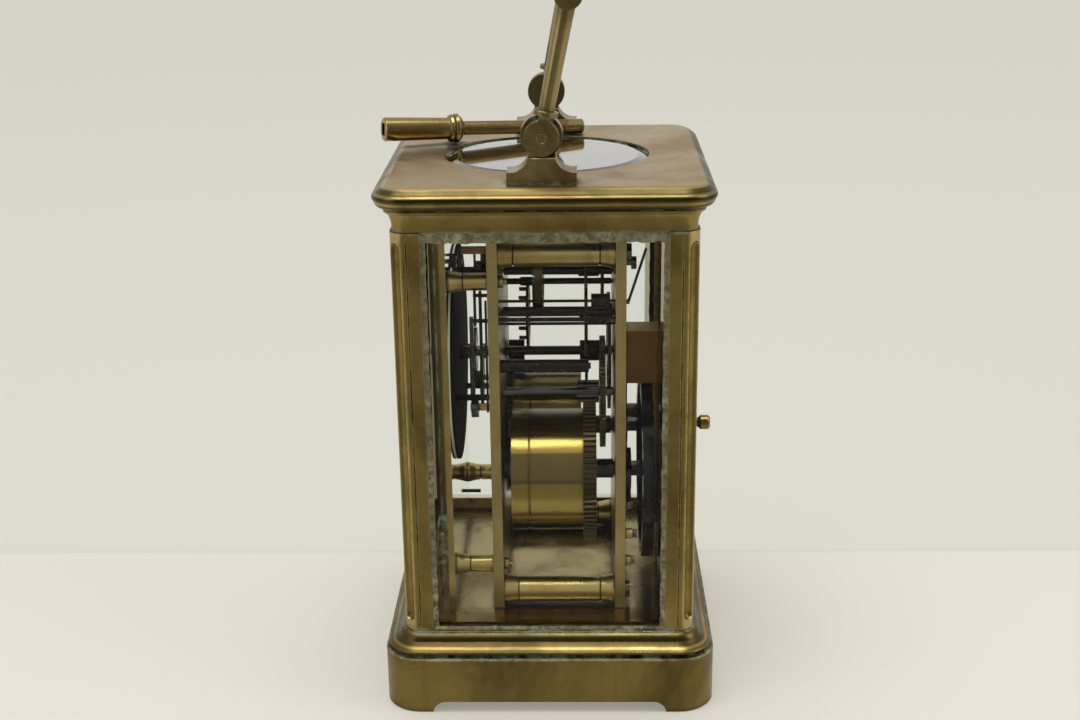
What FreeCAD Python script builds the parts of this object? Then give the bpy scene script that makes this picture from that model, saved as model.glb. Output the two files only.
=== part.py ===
import FreeCAD, Part
import math
import os

from FreeCAD import Placement, Rotation, Vector

# A brass carriage clock with glazed sides, a striking movement, a folding handle and a loose key.
# Millimetres. The origin is on the surface that the feet stand on, below the middle of the case.
# +X is the right side seen from the front, the dial faces -Y, the glazed door is on +Y, +Z is up.

# ---- Clearances -------------------------------------------------------------------------------
SEAT_GAP = 0.05     # between pieces that are pushed together
RUN_GAP = 0.05      # radial, shaft in its hole
JOIN_LAP = 0.1      # overlap of shapes joined into one solid
SLIDE_GAP = 0.3     # between pieces that pass each other
TINY = 1e-6         # below which two places are the same

# ---- Case -------------------------------------------------------------------------------------
CASE_WIDTH = 78.1        # outline of the four pillars, along X
CASE_DEPTH = 73.4        # outline of the four pillars, along Y
CORNER_RADIUS = 3.9      # outer corner of the pillars, shared by every moulding
PLINTH_PROJECTION = 5.3  # plinth beyond the pillars
PLINTH_HEIGHT = 15.1
PLINTH_WALL = 6.5
PLINTH_EDGE = 0.35
FOOT_LENGTH = 12.3
FOOT_HEIGHT = 3.0
FOOT_CURVE = 3.5
MOULDING_HEIGHT = 5.35
# outline of the base moulding from its foot up, each point a share of the plinth's projection
# and of the moulding's height
MOULDING_OUTLINE = (("line", (0.717, 0.0), (0.717, 0.150)),
                    ("line", (0.717, 0.150), (0.783, 0.150)),
                    ("arc", (0.783, 0.150), (0.849, 0.224), (0.783, 0.299)),
                    ("arc", (0.783, 0.299), (0.547, 0.439), (0.358, 0.598)),
                    ("arc", (0.358, 0.598), (0.255, 0.794), (0.075, 0.935)),
                    ("line", (0.075, 0.935), (0.057, 1.0)))
FLOOR_THICKNESS = 0.8
PILLAR_SIZE = 7.3
PILLAR_HEIGHT = 103.95
FLUTE_RADIUS = 1.75
FLUTE_CENTRE_OUT = 0.45  # axis of the flute beyond the rounded corner
FLUTE_END = 2.4          # plain length left at each end of a pillar
QUIRK_WIDTH = 0.35       # fine groove beside the rounded corner
QUIRK_DEPTH = 0.3
QUIRK_FROM_EDGE = 4.1
GLASS_THICKNESS = 2.6
GLASS_INSET = 1.3        # outer face of a pane inside the pillar faces
GLASS_GROOVE = 0.8       # depth of the groove that holds a pane's edge
GLASS_GROOVE_GAP = 0.15
BEVEL_WIDTH = 2.6
BEVEL_DEPTH = 1.1
CORNICE_HEIGHT = 11.1
CORNICE_PROJECTION = 3.9     # widest part of the cornice beyond the pillars
# outline of the cornice from its foot up, each point a share of the projection and of the height
CORNICE_OUTLINE = (("line", (-0.128, 0.0), (-0.128, 0.063)),
                   ("arc", (-0.128, 0.063), (-0.064, 0.261), (0.154, 0.414)),
                   ("line", (0.154, 0.414), (0.231, 0.414)),
                   ("arc", (0.231, 0.414), (0.346, 0.468), (0.231, 0.523)),
                   ("line", (0.231, 0.523), (0.385, 0.523)),
                   ("arc", (0.385, 0.523), (0.744, 0.572), (0.897, 0.676)),
                   ("arc", (0.897, 0.676), (1.0, 0.766), (0.846, 0.856)),
                   ("line", (0.846, 0.856), (0.744, 0.874)),
                   ("arc", (0.744, 0.874), (0.487, 0.950), (0.128, 1.0)))
CORNICE_WALL_INSIDE = 0.4   # cornice wall inside the inner face of the panes
TOP_THICKNESS = 2.5
OVAL_LENGTH = 52.0       # top glass along Y
OVAL_WIDTH = 48.0        # top glass along X
OVAL_LEDGE = 1.2
TOP_GLASS_THICKNESS = 1.5
TOP_GLASS_SUNK = 0.15
CASE_SCREW_RADIUS = 1.4
CASE_SCREW_HEAD_RADIUS = 2.6
CASE_SCREW_HEAD_HEIGHT = 1.6

# ---- Handle -----------------------------------------------------------------------------------
BRACKET_THICKNESS = 7.0
BRACKET_INSET = 1.65     # outer face of a bracket inside the pillar faces
BRACKET_LENGTH = 16.4
BRACKET_SWEEP = (0.28, 0.30)   # middle of the swept edge, as shares of its width and height
BRACKET_END_HEIGHT = 3.0
BRACKET_NECK_WIDTH = 6.5
BRACKET_LEDGE_HEIGHT = 6.2
EAR_RADIUS = 5.0
EAR_THICKNESS = 3.0
PIVOT_ABOVE_TOP = 10.8
PIVOT_FORWARD = 0.5      # handle pivot ahead of the middle of the case
KNUCKLE_RADIUS = 4.2
KNUCKLE_THICKNESS = 3.2
PIVOT_PIN_RADIUS = 1.1
COLLAR_RADIUS = 2.9
COLLAR_START = 5.25      # from the pivot along the arm
COLLAR_THICKNESS = 1.1
ARM_ROOT_RADIUS = 1.55      # between the knuckle and the collar
ARM_ROOT_LENGTH = 1.6
ARM_BOTTOM_RADIUS = 1.85
ARM_TOP_RADIUS = 2.2
GRIP_FROM_PIVOT = 33.0
GRIP_RADIUS = 3.4
GRIP_END_RADIUS = 2.3
GRIP_ROD_RADIUS = 1.2
GRIP_ROD_INSET = 0.8        # rod's end inside the outer face of the arm
# turned steps at each end of the grip: distance from the arm, depth below the grip
GRIP_END_STEPS = ((1.2, 0.3), (2.0, 0.0), (2.8, 0.3), (2.8, 0.6), (3.6, 0.1))
ARM_EYE_RADIUS = 3.3
ARM_EYE_THICKNESS = 4.6
HANDLE_TILT = 11.3       # degrees towards the door

# ---- Door -------------------------------------------------------------------------------------
DOOR_GAP = 0.4
DOOR_THICKNESS = 3.0
DOOR_INSET = 0.3         # outer face of the door inside the pillar faces
DOOR_STILE = 5.0
DOOR_RAIL = 4.2
DOOR_GLASS_THICKNESS = 1.8
DOOR_PIN_RADIUS = 0.8
DOOR_PIN_LENGTH = 2.2
KNOB_HEIGHT = 73.2
KNOB_RADIUS = 1.8
KNOB_NECK_RADIUS = 1.1
KNOB_LENGTH = 4.0
KNOB_NECK_LENGTH = 0.9
KNOB_EDGE = 0.4
KNOB_NUT_RADIUS = 1.8       # nut on the inner face of the door
KNOB_NUT_THICKNESS = 0.8

# ---- Movement frame ---------------------------------------------------------------------------
PLATE_WIDTH = 56.0
PLATE_THICKNESS = 2.6
FRONT_PLATE_Y = -14.4    # front face of the front plate
PLATE_SPACING = 28.8     # clear space between the plates
PLATE_HEIGHT = 100.2
MOVEMENT_PILLAR_RADIUS = 3.3
MOVEMENT_PILLAR_FLARE = 3.8
MOVEMENT_PILLAR_X = 24.0
MOVEMENT_PILLAR_LOW = 3.9     # above the foot of the plates
MOVEMENT_PILLAR_HIGH = 94.6
PILLAR_FLARE_LENGTH = 0.7     # plain part of a flared pillar end
PILLAR_NECK_AT = 2.3
PILLAR_NECK_SWELL = 0.15      # left at the neck beyond the pillar
PILLAR_RING_AT = 3.6          # turned ring near the end
PILLAR_RING_WIDTH = 0.35
PILLAR_RING_DEPTH = 0.28
PLATE_SCREW_RADIUS = 1.2
PLATE_SCREW_HEAD_RADIUS = 2.3
PLATE_SCREW_HEAD_HEIGHT = 1.3
PLATE_RIVET_HEIGHT = 0.15  # screw's end ahead of the front plate

# ---- Dial -------------------------------------------------------------------------------------
DIAL_CENTRE_Z = 82.8
DIAL_RADIUS = 28.5
DIAL_THICKNESS = 0.8
DIAL_FRONT_Y = -24.2
DIAL_FOOT_RADIUS = 0.8
DIAL_FOOT_CIRCLE = 21.5
DIAL_FOOT_ANGLES = (-15, 105, 225)   # from +X towards +Z
MASK_WIDTH = 59.0
MASK_THICKNESS = 1.6
MASK_HOLE_RADIUS = 25.4
DIAL_PILLAR_RADIUS = 2.2
DIAL_PILLAR_FLARE = 2.8
DIAL_PILLAR_X = 24.0
DIAL_PILLAR_LOW_RIGHT = 11.2   # above the foot of the plates
DIAL_PILLAR_LOW_LEFT = 16.9
DIAL_PILLAR_HIGH = 87.4
MINUTE_HAND_LENGTH = 22.5
HOUR_HAND_LENGTH = 15.0
HAND_THICKNESS = 0.5
HAND_GAP = 0.6

# ---- Trains -----------------------------------------------------------------------------------
TOOTH_TIP = 0.6          # tooth height outside the pitch circle, in modules
PINION_TIP = 0.35        # the same for a pinion's leaves
MESH_GAP = 0.05          # between the pitch circles of a pair
TOOTH_ROOT = 0.95        # tooth depth inside the pitch circle, in modules
TOOTH_PITCH_SHARE = 0.40
TOOTH_TIP_SHARE = 0.14
TOOTH_ROOT_SHARE = 0.50
PIVOT_RADIUS = 0.55
ARBOR_RADIUS = 1.15
ARBOR_END_GAP = 0.3      # arbor shoulder to plate
RIM_WIDTH = 1.6
HUB_RADIUS = 2.6
SPOKE_WIDTH = 1.4
BARREL_ABOVE_FOOT = 34.5
BARREL_LINE_RADIUS = 0.3    # groove round each drum at its cap
BARREL_GAP = 0.3         # half the gap between the two drums
GREAT_RIM = 2.95         # tips of the great wheels beyond the drums
GREAT_PANE_GAP = 0.5     # tips of the great wheels to the side panes
BARREL_WALL = 1.2
BARREL_FRONT_Y = -9.3
BARREL_LENGTH = 17.8
BARREL_CAP_THICKNESS = 1.3
BARREL_ARBOR_RADIUS = 2.5
BARREL_PIVOT_RADIUS = 1.9
GREAT_TEETH = 80
GREAT_THICKNESS = 3.3
STRIKE_GREAT_THICKNESS = 1.4
GREAT_PINION_TEETH = 12
WINDING_SQUARE = 3.0
WINDING_SQUARE_LENGTH = 8.0
RATCHET_TEETH = 18
RATCHET_RADIUS = 5.4
RATCHET_FACE_SHARE = 0.02   # share of the pitch taken by a tooth's steep face
RATCHET_DEPTH = 0.8
RATCHET_THICKNESS = 1.4
CONTRATE_ABOVE_CENTRE = 22.0
ESCAPE_TEETH = 15
ESCAPE_RADIUS = 3.6
DRUM_END_GAP = 0.4           # drum's end to the great wheel
PLANE_GAP = 0.2              # pinion's end to the wheel behind it
PINION_AHEAD = 1.5           # most pinions start this far ahead of the wheel that drives them
GREAT_PINION_EXTRA = 2.3     # length of the pinion beyond its driver's thickness
CENTRE_PINION_AHEAD = 5.0
CENTRE_PINION_EXTRA = 5.4
CENTRE_FROM_PLATE = 1.6      # centre wheel's front ahead of the back plate
THIRD_PINION_AHEAD = 2.0
THIRD_PINION_EXTRA = 2.4
STRIKE_GREAT_GAP = 0.5
FLY_PINION_AHEAD = 1.1
FLY_PINION_EXTRA = 2.2
WHEEL_SPOKES = 5
THICK_WHEEL = 1.4
WHEEL_THICKNESS = 0.8
INTERMEDIATE_TEETH = 76
INTERMEDIATE_MODULE = 0.37
CENTRE_PINION_TEETH = 14
CENTRE_TEETH = 80
CENTRE_MODULE = 0.38
THIRD_PINION_TEETH = 10
THIRD_TEETH = 75
THIRD_MODULE = 0.30
THIRD_Y = 9.4
CONTRATE_PINION_TEETH = 10
CONTRATE_PINION_LENGTH = 5.4
CONTRATE_TEETH = 80
CONTRATE_MODULE = 0.26
CONTRATE_RIM = 1.2
CONTRATE_DISC = 0.8
CONTRATE_TOOTH_HEIGHT = 0.6
CONTRATE_RING_HEIGHT = 1.9
CONTRATE_FRONT_Y = -3.9
STRIKE_PINION_LENGTH = 4.4
STRIKE_SECOND_X = -19.0
STRIKE_SECOND_Y = 9.6
STRIKE_SECOND_TEETH = 64
STRIKE_SECOND_MODULE = 0.31
PIN_WHEEL_X = -17.5
PIN_WHEEL_Y = -6.3
PIN_WHEEL_PINION_TEETH = 8
PIN_WHEEL_TEETH = 66
PIN_WHEEL_MODULE = 0.28
PIN_WHEEL_PINS = 10
PIN_CIRCLE = 7.0
PIN_RADIUS = 0.5
PIN_LENGTH = 2.0
WARNING_X = -14.5
WARNING_Y = 13.9
WARNING_PINION_TEETH = 8
WARNING_TEETH = 60
WARNING_MODULE = 0.25
FLY_X = -20.0
FLY_PINION_TEETH = 7
FLY_HALF_WIDTH = 4.5
FLY_LENGTH = 15.0
FLY_THICKNESS = 0.5
FLY_HUB_RADIUS = 1.6
CLICK_HUB_OUT = 4.6
CLICK_HUB_DOWN = 8.6
CLICK_HUB_RADIUS = 1.7
CLICK_WIDTH = 2.0
CLICK_STUD_RADIUS = 0.8

# ---- Motion work ------------------------------------------------------------------------------
CENTRE_SHAFT_RADIUS = 0.9
CENTRE_ARBOR_AHEAD = 3.6     # centre arbor's end ahead of the dial
CANNON_TEETH = 12
MINUTE_TEETH = 36
CANNON_MODULE = 0.32
MINUTE_PINION_TEETH = 10
HOUR_TEETH = 40
CANNON_PIPE_RADIUS = 1.35
HOUR_PIPE_RADIUS = 2.0
MOTION_WHEEL_THICKNESS = 0.8
CANNON_PINION_LENGTH = 1.9
MINUTE_WHEEL_GAP = 2.6   # minute wheel ahead of the front plate
HOUR_WHEEL_GAP = 4.6
MINUTE_ANGLE = 44.0      # minute wheel below and right of the centre
MINUTE_STUD_RADIUS = 0.8
DIAL_HOLE_GAP = 0.4
HAND_HUB_RADIUS = 3.0
HAND_HALF_WIDTH = 0.55
HAND_TIP_HALF_WIDTH = 0.2
HAND_EYE_RADIUS = 2.1
HAND_EYE_HOLE = 1.1
HOUR_EYE_AT = 0.68          # share of the hand's length
MINUTE_EYE_AT = 0.76
HOUR_HAND_ANGLE = -60.0  # right-handed about +Y from twelve o'clock: ten o'clock
MINUTE_HAND_ANGLE = 60.0
RACK_PIVOT = (17.5, 73.5)
RACK_LENGTH = 24.0
RACK_WIDTH = 2.4
RACK_TIP_WIDTH = 1.5
RACK_THICKNESS = 1.0
RACK_HUB_EXTRA = 0.8
RACK_HUB_RADIUS = 2.7
RACK_GAP = 4.2           # rack ahead of the front plate
RACK_STUD_RADIUS = 1.0

# ---- Platform escapement ----------------------------------------------------------------------
PLATFORM_THICKNESS = 1.8
PLATFORM_HALF_WIDTH = 16.0
PLATFORM_SCREW_RADIUS = 1.5
PLATFORM_SCREW_INSET = 2.6
PLATFORM_SCREW_HEIGHT = 1.0
ESCAPE_PINION_TEETH = 8
ESCAPE_PHASE = 0.2
ESCAPE_ARBOR_RADIUS = 0.45
ESCAPE_WHEEL_ABOVE = 1.0     # above the platform
ESCAPE_WHEEL_THICKNESS = 0.5
ESCAPE_TOOTH_DEPTH = 0.9
ESCAPE_TOOTH_SHARES = (0.0, 0.10, 0.30, 0.90)   # tip's ends and root's ends along the pitch
ESCAPE_HOLE_CIRCLE = 1.55
ESCAPE_HOLE_RADIUS = 0.45
POTENCE_DROP = 10.8          # lower bearing below the platform's top
POTENCE_THICKNESS = 1.2
POTENCE_WIDTH = 3.0
POTENCE_UPRIGHT = 1.6        # thickness of its upright part
POTENCE_AHEAD = 4.6          # its front ahead of the escape arbor
POTENCE_BEHIND = 0.75
COCK_ABOVE = 2.8             # underside of the escapement cock above the platform
COCK_THICKNESS = 0.9
COCK_WIDTH = 3.2
COCK_END = 1.2               # its end beyond the lever's staff
COCK_FOOT_GAP = 2.6          # its foot from the escape wheel
COCK_FOOT_WIDTH = 2.4
LEVER_TO_ESCAPE = 6.0
LEVER_TO_BALANCE = 7.8
PALLET_REACH = 0.12          # pallets outside the escape wheel's tips
PALLET_HALF_ANGLE = 30.0
PALLET_WIDTH = 0.5
PALLET_LEAN = 0.1
LEVER_HUB_RADIUS = 1.0
LEVER_WIDTH = 0.7
FORK_WIDTH = 1.8
FORK_LENGTH = 1.0
FORK_FROM_STAFF = 0.9
FORK_SLOT_WIDTH = 0.6
FORK_SLOT_DEPTH = 0.6
ROLLER_RADIUS = 1.3
BALANCE_ARM_WIDTH = 1.0
BALANCE_ARM_INSET = 0.2      # arms inside the faces of the rim
BALANCE_RADIUS = 6.5
BALANCE_RIM = 0.9
BALANCE_ABOVE = 2.2
BALANCE_THICKNESS = 0.8
BALANCE_COCK_ABOVE = 4.4
BALANCE_COCK_THICKNESS = 1.2
BALANCE_COCK_EYE_RADIUS = 2.4
BALANCE_COCK_WIDTH = 3.4
BALANCE_COCK_FOOT_WIDTH = 5.2
BALANCE_COCK_FOOT_GAP = 1.2  # its foot from the balance
BALANCE_COCK_INSET = 0.2     # its foot from the platform's edge
STAFF_RADIUS = 0.4
HAIRSPRING_ABOVE = 3.5
HAIRSPRING_OUTER = 3.6
HAIRSPRING_STEP = 0.35
HAIRSPRING_HALF_TURNS = 12
HAIRSPRING_THICKNESS = 0.12
HAIRSPRING_HEIGHT = 0.3
HAIRSPRING_STUD_RADIUS = 0.35

# ---- Gong and hammer --------------------------------------------------------------------------
GONG_CENTRE_ABOVE_FOOT = 29.8
GONG_OUTER_RADIUS = 25.0
GONG_STEP = 1.1          # radius lost at each half turn
GONG_HALF_TURNS = 4
GONG_WIRE_THICKNESS = 1.3
GONG_WIRE_WIDTH = 3.0
GONG_BEHIND_PLATE = 4.6
GONG_BLOCK_WIDTH = 8.0
GONG_BLOCK_HEIGHT = 14.5
GONG_BLOCK_DEPTH = 9.4
GONG_BLOCK_UNDER = 0.5    # block below the middle of the gong's outer end
HAMMER_PIVOT_X = -24.6
HAMMER_PIVOT_ABOVE_FOOT = 51.5
HAMMER_ARM_LENGTH = 18.0
HAMMER_HEAD_RADIUS = 2.2
HAMMER_HEAD_LENGTH = 3.4
HAMMER_GAP = 0.8
HAMMER_STUD_RADIUS = 1.2
HAMMER_HUB_RADIUS = 2.6
HAMMER_ARM_GAP = 0.6
HAMMER_ARM_THICKNESS = 1.4
HAMMER_ARM_WIDTH = 2.0

# ---- Key --------------------------------------------------------------------------------------
KEY_MOUTH_FROM_BRACKET = 22.2   # from the left bracket's inner face
KEY_MOUTH_Y = -42.4
KEY_TURN = 20.0          # degrees from the Y axis, seen from above
KEY_BARREL_RADIUS = 3.1
KEY_BARREL_END_RADIUS = 2.8
KEY_BARREL_LENGTH = 17.2
KEY_COLLAR_RADIUS = 3.85
KEY_COLLAR_LENGTH = 4.2
# share of the collar's length and depth below its widest part, for each turned step
KEY_COLLAR_STEPS = ((0.10, 0.4), (0.26, 0.2), (0.33, 0.6), (0.43, 0.1), (0.62, 0.0), (0.86, 0.9))
KEY_EDGE = 0.3
KEY_SHAFT_RADIUS = 1.8
KEY_SHAFT_END = 40.0     # from the mouth
KEY_WING_SPAN = 7.4      # half the width of the wing
KEY_WING_RADIUS = 3.7
KEY_WING_THICKNESS = 1.8
KEY_WING_LENGTH = 7.0
KEY_SMALL_RADIUS = 1.95
KEY_LENGTH = 55.0
KEY_SOCKET_DEPTH = 14.0
KEY_SMALL_SOCKET = 1.9
KEY_SMALL_SOCKET_DEPTH = 5.0
KEY_SOCKET_GAP = 0.12
KEY_REST_GAP = 0.1

# ---- Levels and places that follow from the sizes above ---------------------------------------
CASE_HALF_X = CASE_WIDTH / 2
CASE_HALF_Y = CASE_DEPTH / 2
MOULDING_TOP = PLINTH_HEIGHT + MOULDING_HEIGHT
FLOOR_TOP = MOULDING_TOP + FLOOR_THICKNESS
PILLAR_TOP = MOULDING_TOP + PILLAR_HEIGHT
CASE_TOP = PILLAR_TOP + CORNICE_HEIGHT
PANE_OUT_X = CASE_HALF_X - GLASS_INSET
PANE_IN_X = PANE_OUT_X - GLASS_THICKNESS
PANE_OUT_Y = CASE_HALF_Y - GLASS_INSET
PANE_IN_Y = PANE_OUT_Y - GLASS_THICKNESS
PIVOT_Z = CASE_TOP + PIVOT_ABOVE_TOP
BRACKET_OUT_X = CASE_HALF_X - BRACKET_INSET
BRACKET_IN_X = BRACKET_OUT_X - BRACKET_THICKNESS
KNUCKLE_OUT_X = BRACKET_OUT_X
KNUCKLE_IN_X = KNUCKLE_OUT_X - KNUCKLE_THICKNESS
EAR_OUT_X = KNUCKLE_IN_X - SLIDE_GAP / 2
ARM_X = (KNUCKLE_OUT_X + KNUCKLE_IN_X) / 2
FRONT_PLATE_BACK = FRONT_PLATE_Y + PLATE_THICKNESS
BACK_PLATE_Y = FRONT_PLATE_BACK + PLATE_SPACING
BACK_PLATE_BACK = BACK_PLATE_Y + PLATE_THICKNESS
PLATE_TOP = FLOOR_TOP + PLATE_HEIGHT
BARREL_RADIUS = (PANE_IN_X - GREAT_PANE_GAP - GREAT_RIM - BARREL_GAP) / 2
BARREL_X = BARREL_RADIUS + BARREL_GAP
BARREL_Z = FLOOR_TOP + BARREL_ABOVE_FOOT
BARREL_BACK_Y = BARREL_FRONT_Y + BARREL_LENGTH
GREAT_MODULE = 2 * (BARREL_RADIUS + GREAT_RIM) / (GREAT_TEETH + 2 * TOOTH_TIP)
CONTRATE_Z = DIAL_CENTRE_Z + CONTRATE_ABOVE_CENTRE

parts = {}


# ---- Helpers ----------------------------------------------------------------------------------
def box(x0, x1, y0, y1, z0, z1):
    """A box between two corners."""
    return Part.makeBox(x1 - x0, y1 - y0, z1 - z0, Vector(x0, y0, z0))


def rod(radius, start, end):
    """A round rod from one point to another."""
    start = Vector(*start)
    axis = Vector(*end) - start
    return Part.makeCylinder(radius, axis.Length, start, axis)


def rod_y(radius, x, z, y0, y1):
    """A round rod along Y."""
    return rod(radius, (x, y0, z), (x, y1, z))


def turned(profile, start, axis):
    """A solid turned from (distance, radius) points along an axis."""
    points = [Vector(0, 0, profile[0][0])]
    points += [Vector(radius, 0, distance) for distance, radius in profile]
    points += [Vector(0, 0, profile[-1][0]), points[0]]
    clean = [points[0]]
    for point in points[1:]:
        if point.distanceToPoint(clean[-1]) > TINY:
            clean.append(point)
    solid = Part.Face(Part.makePolygon(clean)).revolve(Vector(), Vector(0, 0, 1), 360)
    solid = Part.Solid(solid) if solid.ShapeType == "Shell" else solid
    solid.Placement = Placement(Vector(*start), Rotation(Vector(0, 0, 1), Vector(*axis)))
    return solid


def polygon_face(points):
    """A flat face from a list of points."""
    return Part.Face(Part.makePolygon(points + [points[0]]))


def arc(start, middle, end):
    """The edge of an arc through three points."""
    return Part.Arc(start, middle, end).toShape()


def line(start, end):
    """A straight edge."""
    return Part.LineSegment(start, end).toShape()


def joined(shapes):
    """One solid from touching or overlapping shapes."""
    return shapes[0].multiFuse(shapes[1:]).removeSplitter()


def cut_all(shape, tools):
    """A shape less several tools."""
    return shape.cut(Part.Compound(tools)) if tools else shape


def mirrored_x(shape):
    """The same shape on the other side of the clock."""
    return shape.mirror(Vector(), Vector(1, 0, 0))


def around_case(edges_for):
    """A band round the case; edges_for(out) gives the profile's edges, out(d) being d beyond the pillars."""
    centre_x = CASE_HALF_X - CORNER_RADIUS
    centre_y = CASE_HALF_Y - CORNER_RADIUS

    def side(length, turn, reach):
        face = Part.Face(Part.Wire(edges_for(lambda d, z: Vector(reach + CORNER_RADIUS + d, -length / 2, z))))
        solid = face.extrude(Vector(0, length, 0))
        solid.rotate(Vector(), Vector(0, 0, 1), turn)
        return solid

    shapes = []
    shapes += [side(2 * centre_y, turn, centre_x) for turn in (0, 180)]
    shapes += [side(2 * centre_x, turn, centre_y) for turn in (90, 270)]
    corner_face = Part.Face(Part.Wire(edges_for(lambda d, z: Vector(CORNER_RADIUS + d, 0, z))))
    corner = corner_face.revolve(Vector(), Vector(0, 0, 1), 90)
    for index, (sx, sy) in enumerate(((1, 1), (-1, 1), (-1, -1), (1, -1))):
        piece = corner.copy()
        piece.rotate(Vector(), Vector(0, 0, 1), 90 * index)
        piece.translate(Vector(sx * centre_x, sy * centre_y, 0))
        shapes.append(piece)
    return shapes, centre_x, centre_y


def to_size(outline, projection, low, high):
    """An outline of shares in millimetres, from low to high."""
    return [(kind, *((out * projection, low + up * (high - low)) for out, up in points))
            for kind, *points in outline]


def solid_band(outline, low, high):
    """A slab whose edge is a list of ("line" | "arc", points...) from low to high, each point (out, z)."""
    def edges_for(at):
        first = outline[0][1]
        inner_low = at(-CORNER_RADIUS, low)
        inner_high = at(-CORNER_RADIUS, high)
        edges = [line(inner_low, at(*first))]
        for kind, *points in outline:
            where = [at(*point) for point in points]
            edges.append(line(*where) if kind == "line" else arc(*where))
        edges.append(line(at(*outline[-1][-1]), inner_high))
        edges.append(line(inner_high, inner_low))
        return edges

    shapes, centre_x, centre_y = around_case(edges_for)
    core = box(-centre_x, centre_x, -centre_y, centre_y, low, high)
    return joined([core] + shapes)


def rounded_box(half_x, half_y, radius, z0, z1):
    """A box with rounded upright corners."""
    slab = box(-half_x, half_x, -half_y, half_y, z0, z1)
    upright = [e for e in slab.Edges if abs(e.Vertexes[0].Z - e.Vertexes[1].Z) > (z1 - z0) / 2]
    return slab.makeFillet(radius, upright)


def flared_end(radius, flare):
    """(along, radius) points of a turned pillar's flared end with its ring, for turned()."""
    ring_end = PILLAR_RING_AT + PILLAR_RING_WIDTH
    root = radius - PILLAR_RING_DEPTH
    return [(0, flare), (PILLAR_FLARE_LENGTH, flare), (PILLAR_NECK_AT, radius + PILLAR_NECK_SWELL),
            (PILLAR_RING_AT, radius), (PILLAR_RING_AT, root), (ring_end, root), (ring_end, radius)]


# ---- Case -------------------------------------------------------------------------------------
def make_plinth():
    """Hollow plinth with a bracket foot at each corner."""
    half_x = CASE_HALF_X + PLINTH_PROJECTION
    half_y = CASE_HALF_Y + PLINTH_PROJECTION
    edge = PLINTH_EDGE
    outline = [("line", (PLINTH_PROJECTION - edge, 0), (PLINTH_PROJECTION, edge)),
               ("line", (PLINTH_PROJECTION, edge), (PLINTH_PROJECTION, PLINTH_HEIGHT - edge)),
               ("line", (PLINTH_PROJECTION, PLINTH_HEIGHT - edge), (PLINTH_PROJECTION - edge, PLINTH_HEIGHT))]
    plinth = solid_band(outline, 0, PLINTH_HEIGHT)
    hollow = rounded_box(half_x - PLINTH_WALL, half_y - PLINTH_WALL, CORNER_RADIUS, -1, PLINTH_HEIGHT + 1)

    def arch(half_gap, reach):
        top = Vector(0, half_gap - FOOT_CURVE, FOOT_HEIGHT)
        foot = Vector(0, half_gap, 0)
        bend = Vector(0, half_gap - FOOT_CURVE * (1 - math.sqrt(0.5)), FOOT_HEIGHT * math.sqrt(0.5))
        flip = [Vector(0, -p.y, p.z) for p in (foot, bend, top)]
        below = [Vector(0, half_gap, -1), Vector(0, -half_gap, -1)]
        edges = [arc(foot, bend, top), line(top, flip[2]), arc(flip[2], flip[1], flip[0]),
                 line(flip[0], below[1]), line(below[1], below[0]), line(below[0], foot)]
        face = Part.Face(Part.Wire(edges))
        face.translate(Vector(-reach, 0, 0))
        return face.extrude(Vector(2 * reach, 0, 0))

    side_arch = arch(half_y - FOOT_LENGTH, half_x + 1)
    end_arch = arch(half_x - FOOT_LENGTH, half_y + 1)
    end_arch.rotate(Vector(), Vector(0, 0, 1), 90)
    return cut_all(plinth, [hollow, side_arch, end_arch])


def screw_places():
    """Corners where screws hold plinth, base and pillars together."""
    x = CASE_HALF_X - PILLAR_SIZE / 2
    y = CASE_HALF_Y - PILLAR_SIZE / 2
    return [(sx * x, sy * y) for sx in (1, -1) for sy in (1, -1)]


def door_hinge():
    """Place of the door's hinge line."""
    x = -(CASE_HALF_X - PILLAR_SIZE - DOOR_GAP - DOOR_THICKNESS / 2)
    y = CASE_HALF_Y - DOOR_INSET - DOOR_THICKNESS / 2
    return x, y


def make_base_moulding():
    """Stepped and swept base slab between plinth and pillars."""
    low = PLINTH_HEIGHT
    top = MOULDING_TOP
    slab = solid_band(to_size(MOULDING_OUTLINE, PLINTH_PROJECTION, low, top), low, top)
    hinge_x, hinge_y = door_hinge()
    holes = [rod(CASE_SCREW_RADIUS + RUN_GAP, (x, y, low - 1), (x, y, top + 1)) for x, y in screw_places()]
    pin_low = top - DOOR_PIN_LENGTH
    holes.append(rod(DOOR_PIN_RADIUS + RUN_GAP, (hinge_x, hinge_y, pin_low), (hinge_x, hinge_y, top + 1)))
    return cut_all(slab, holes)


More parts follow.
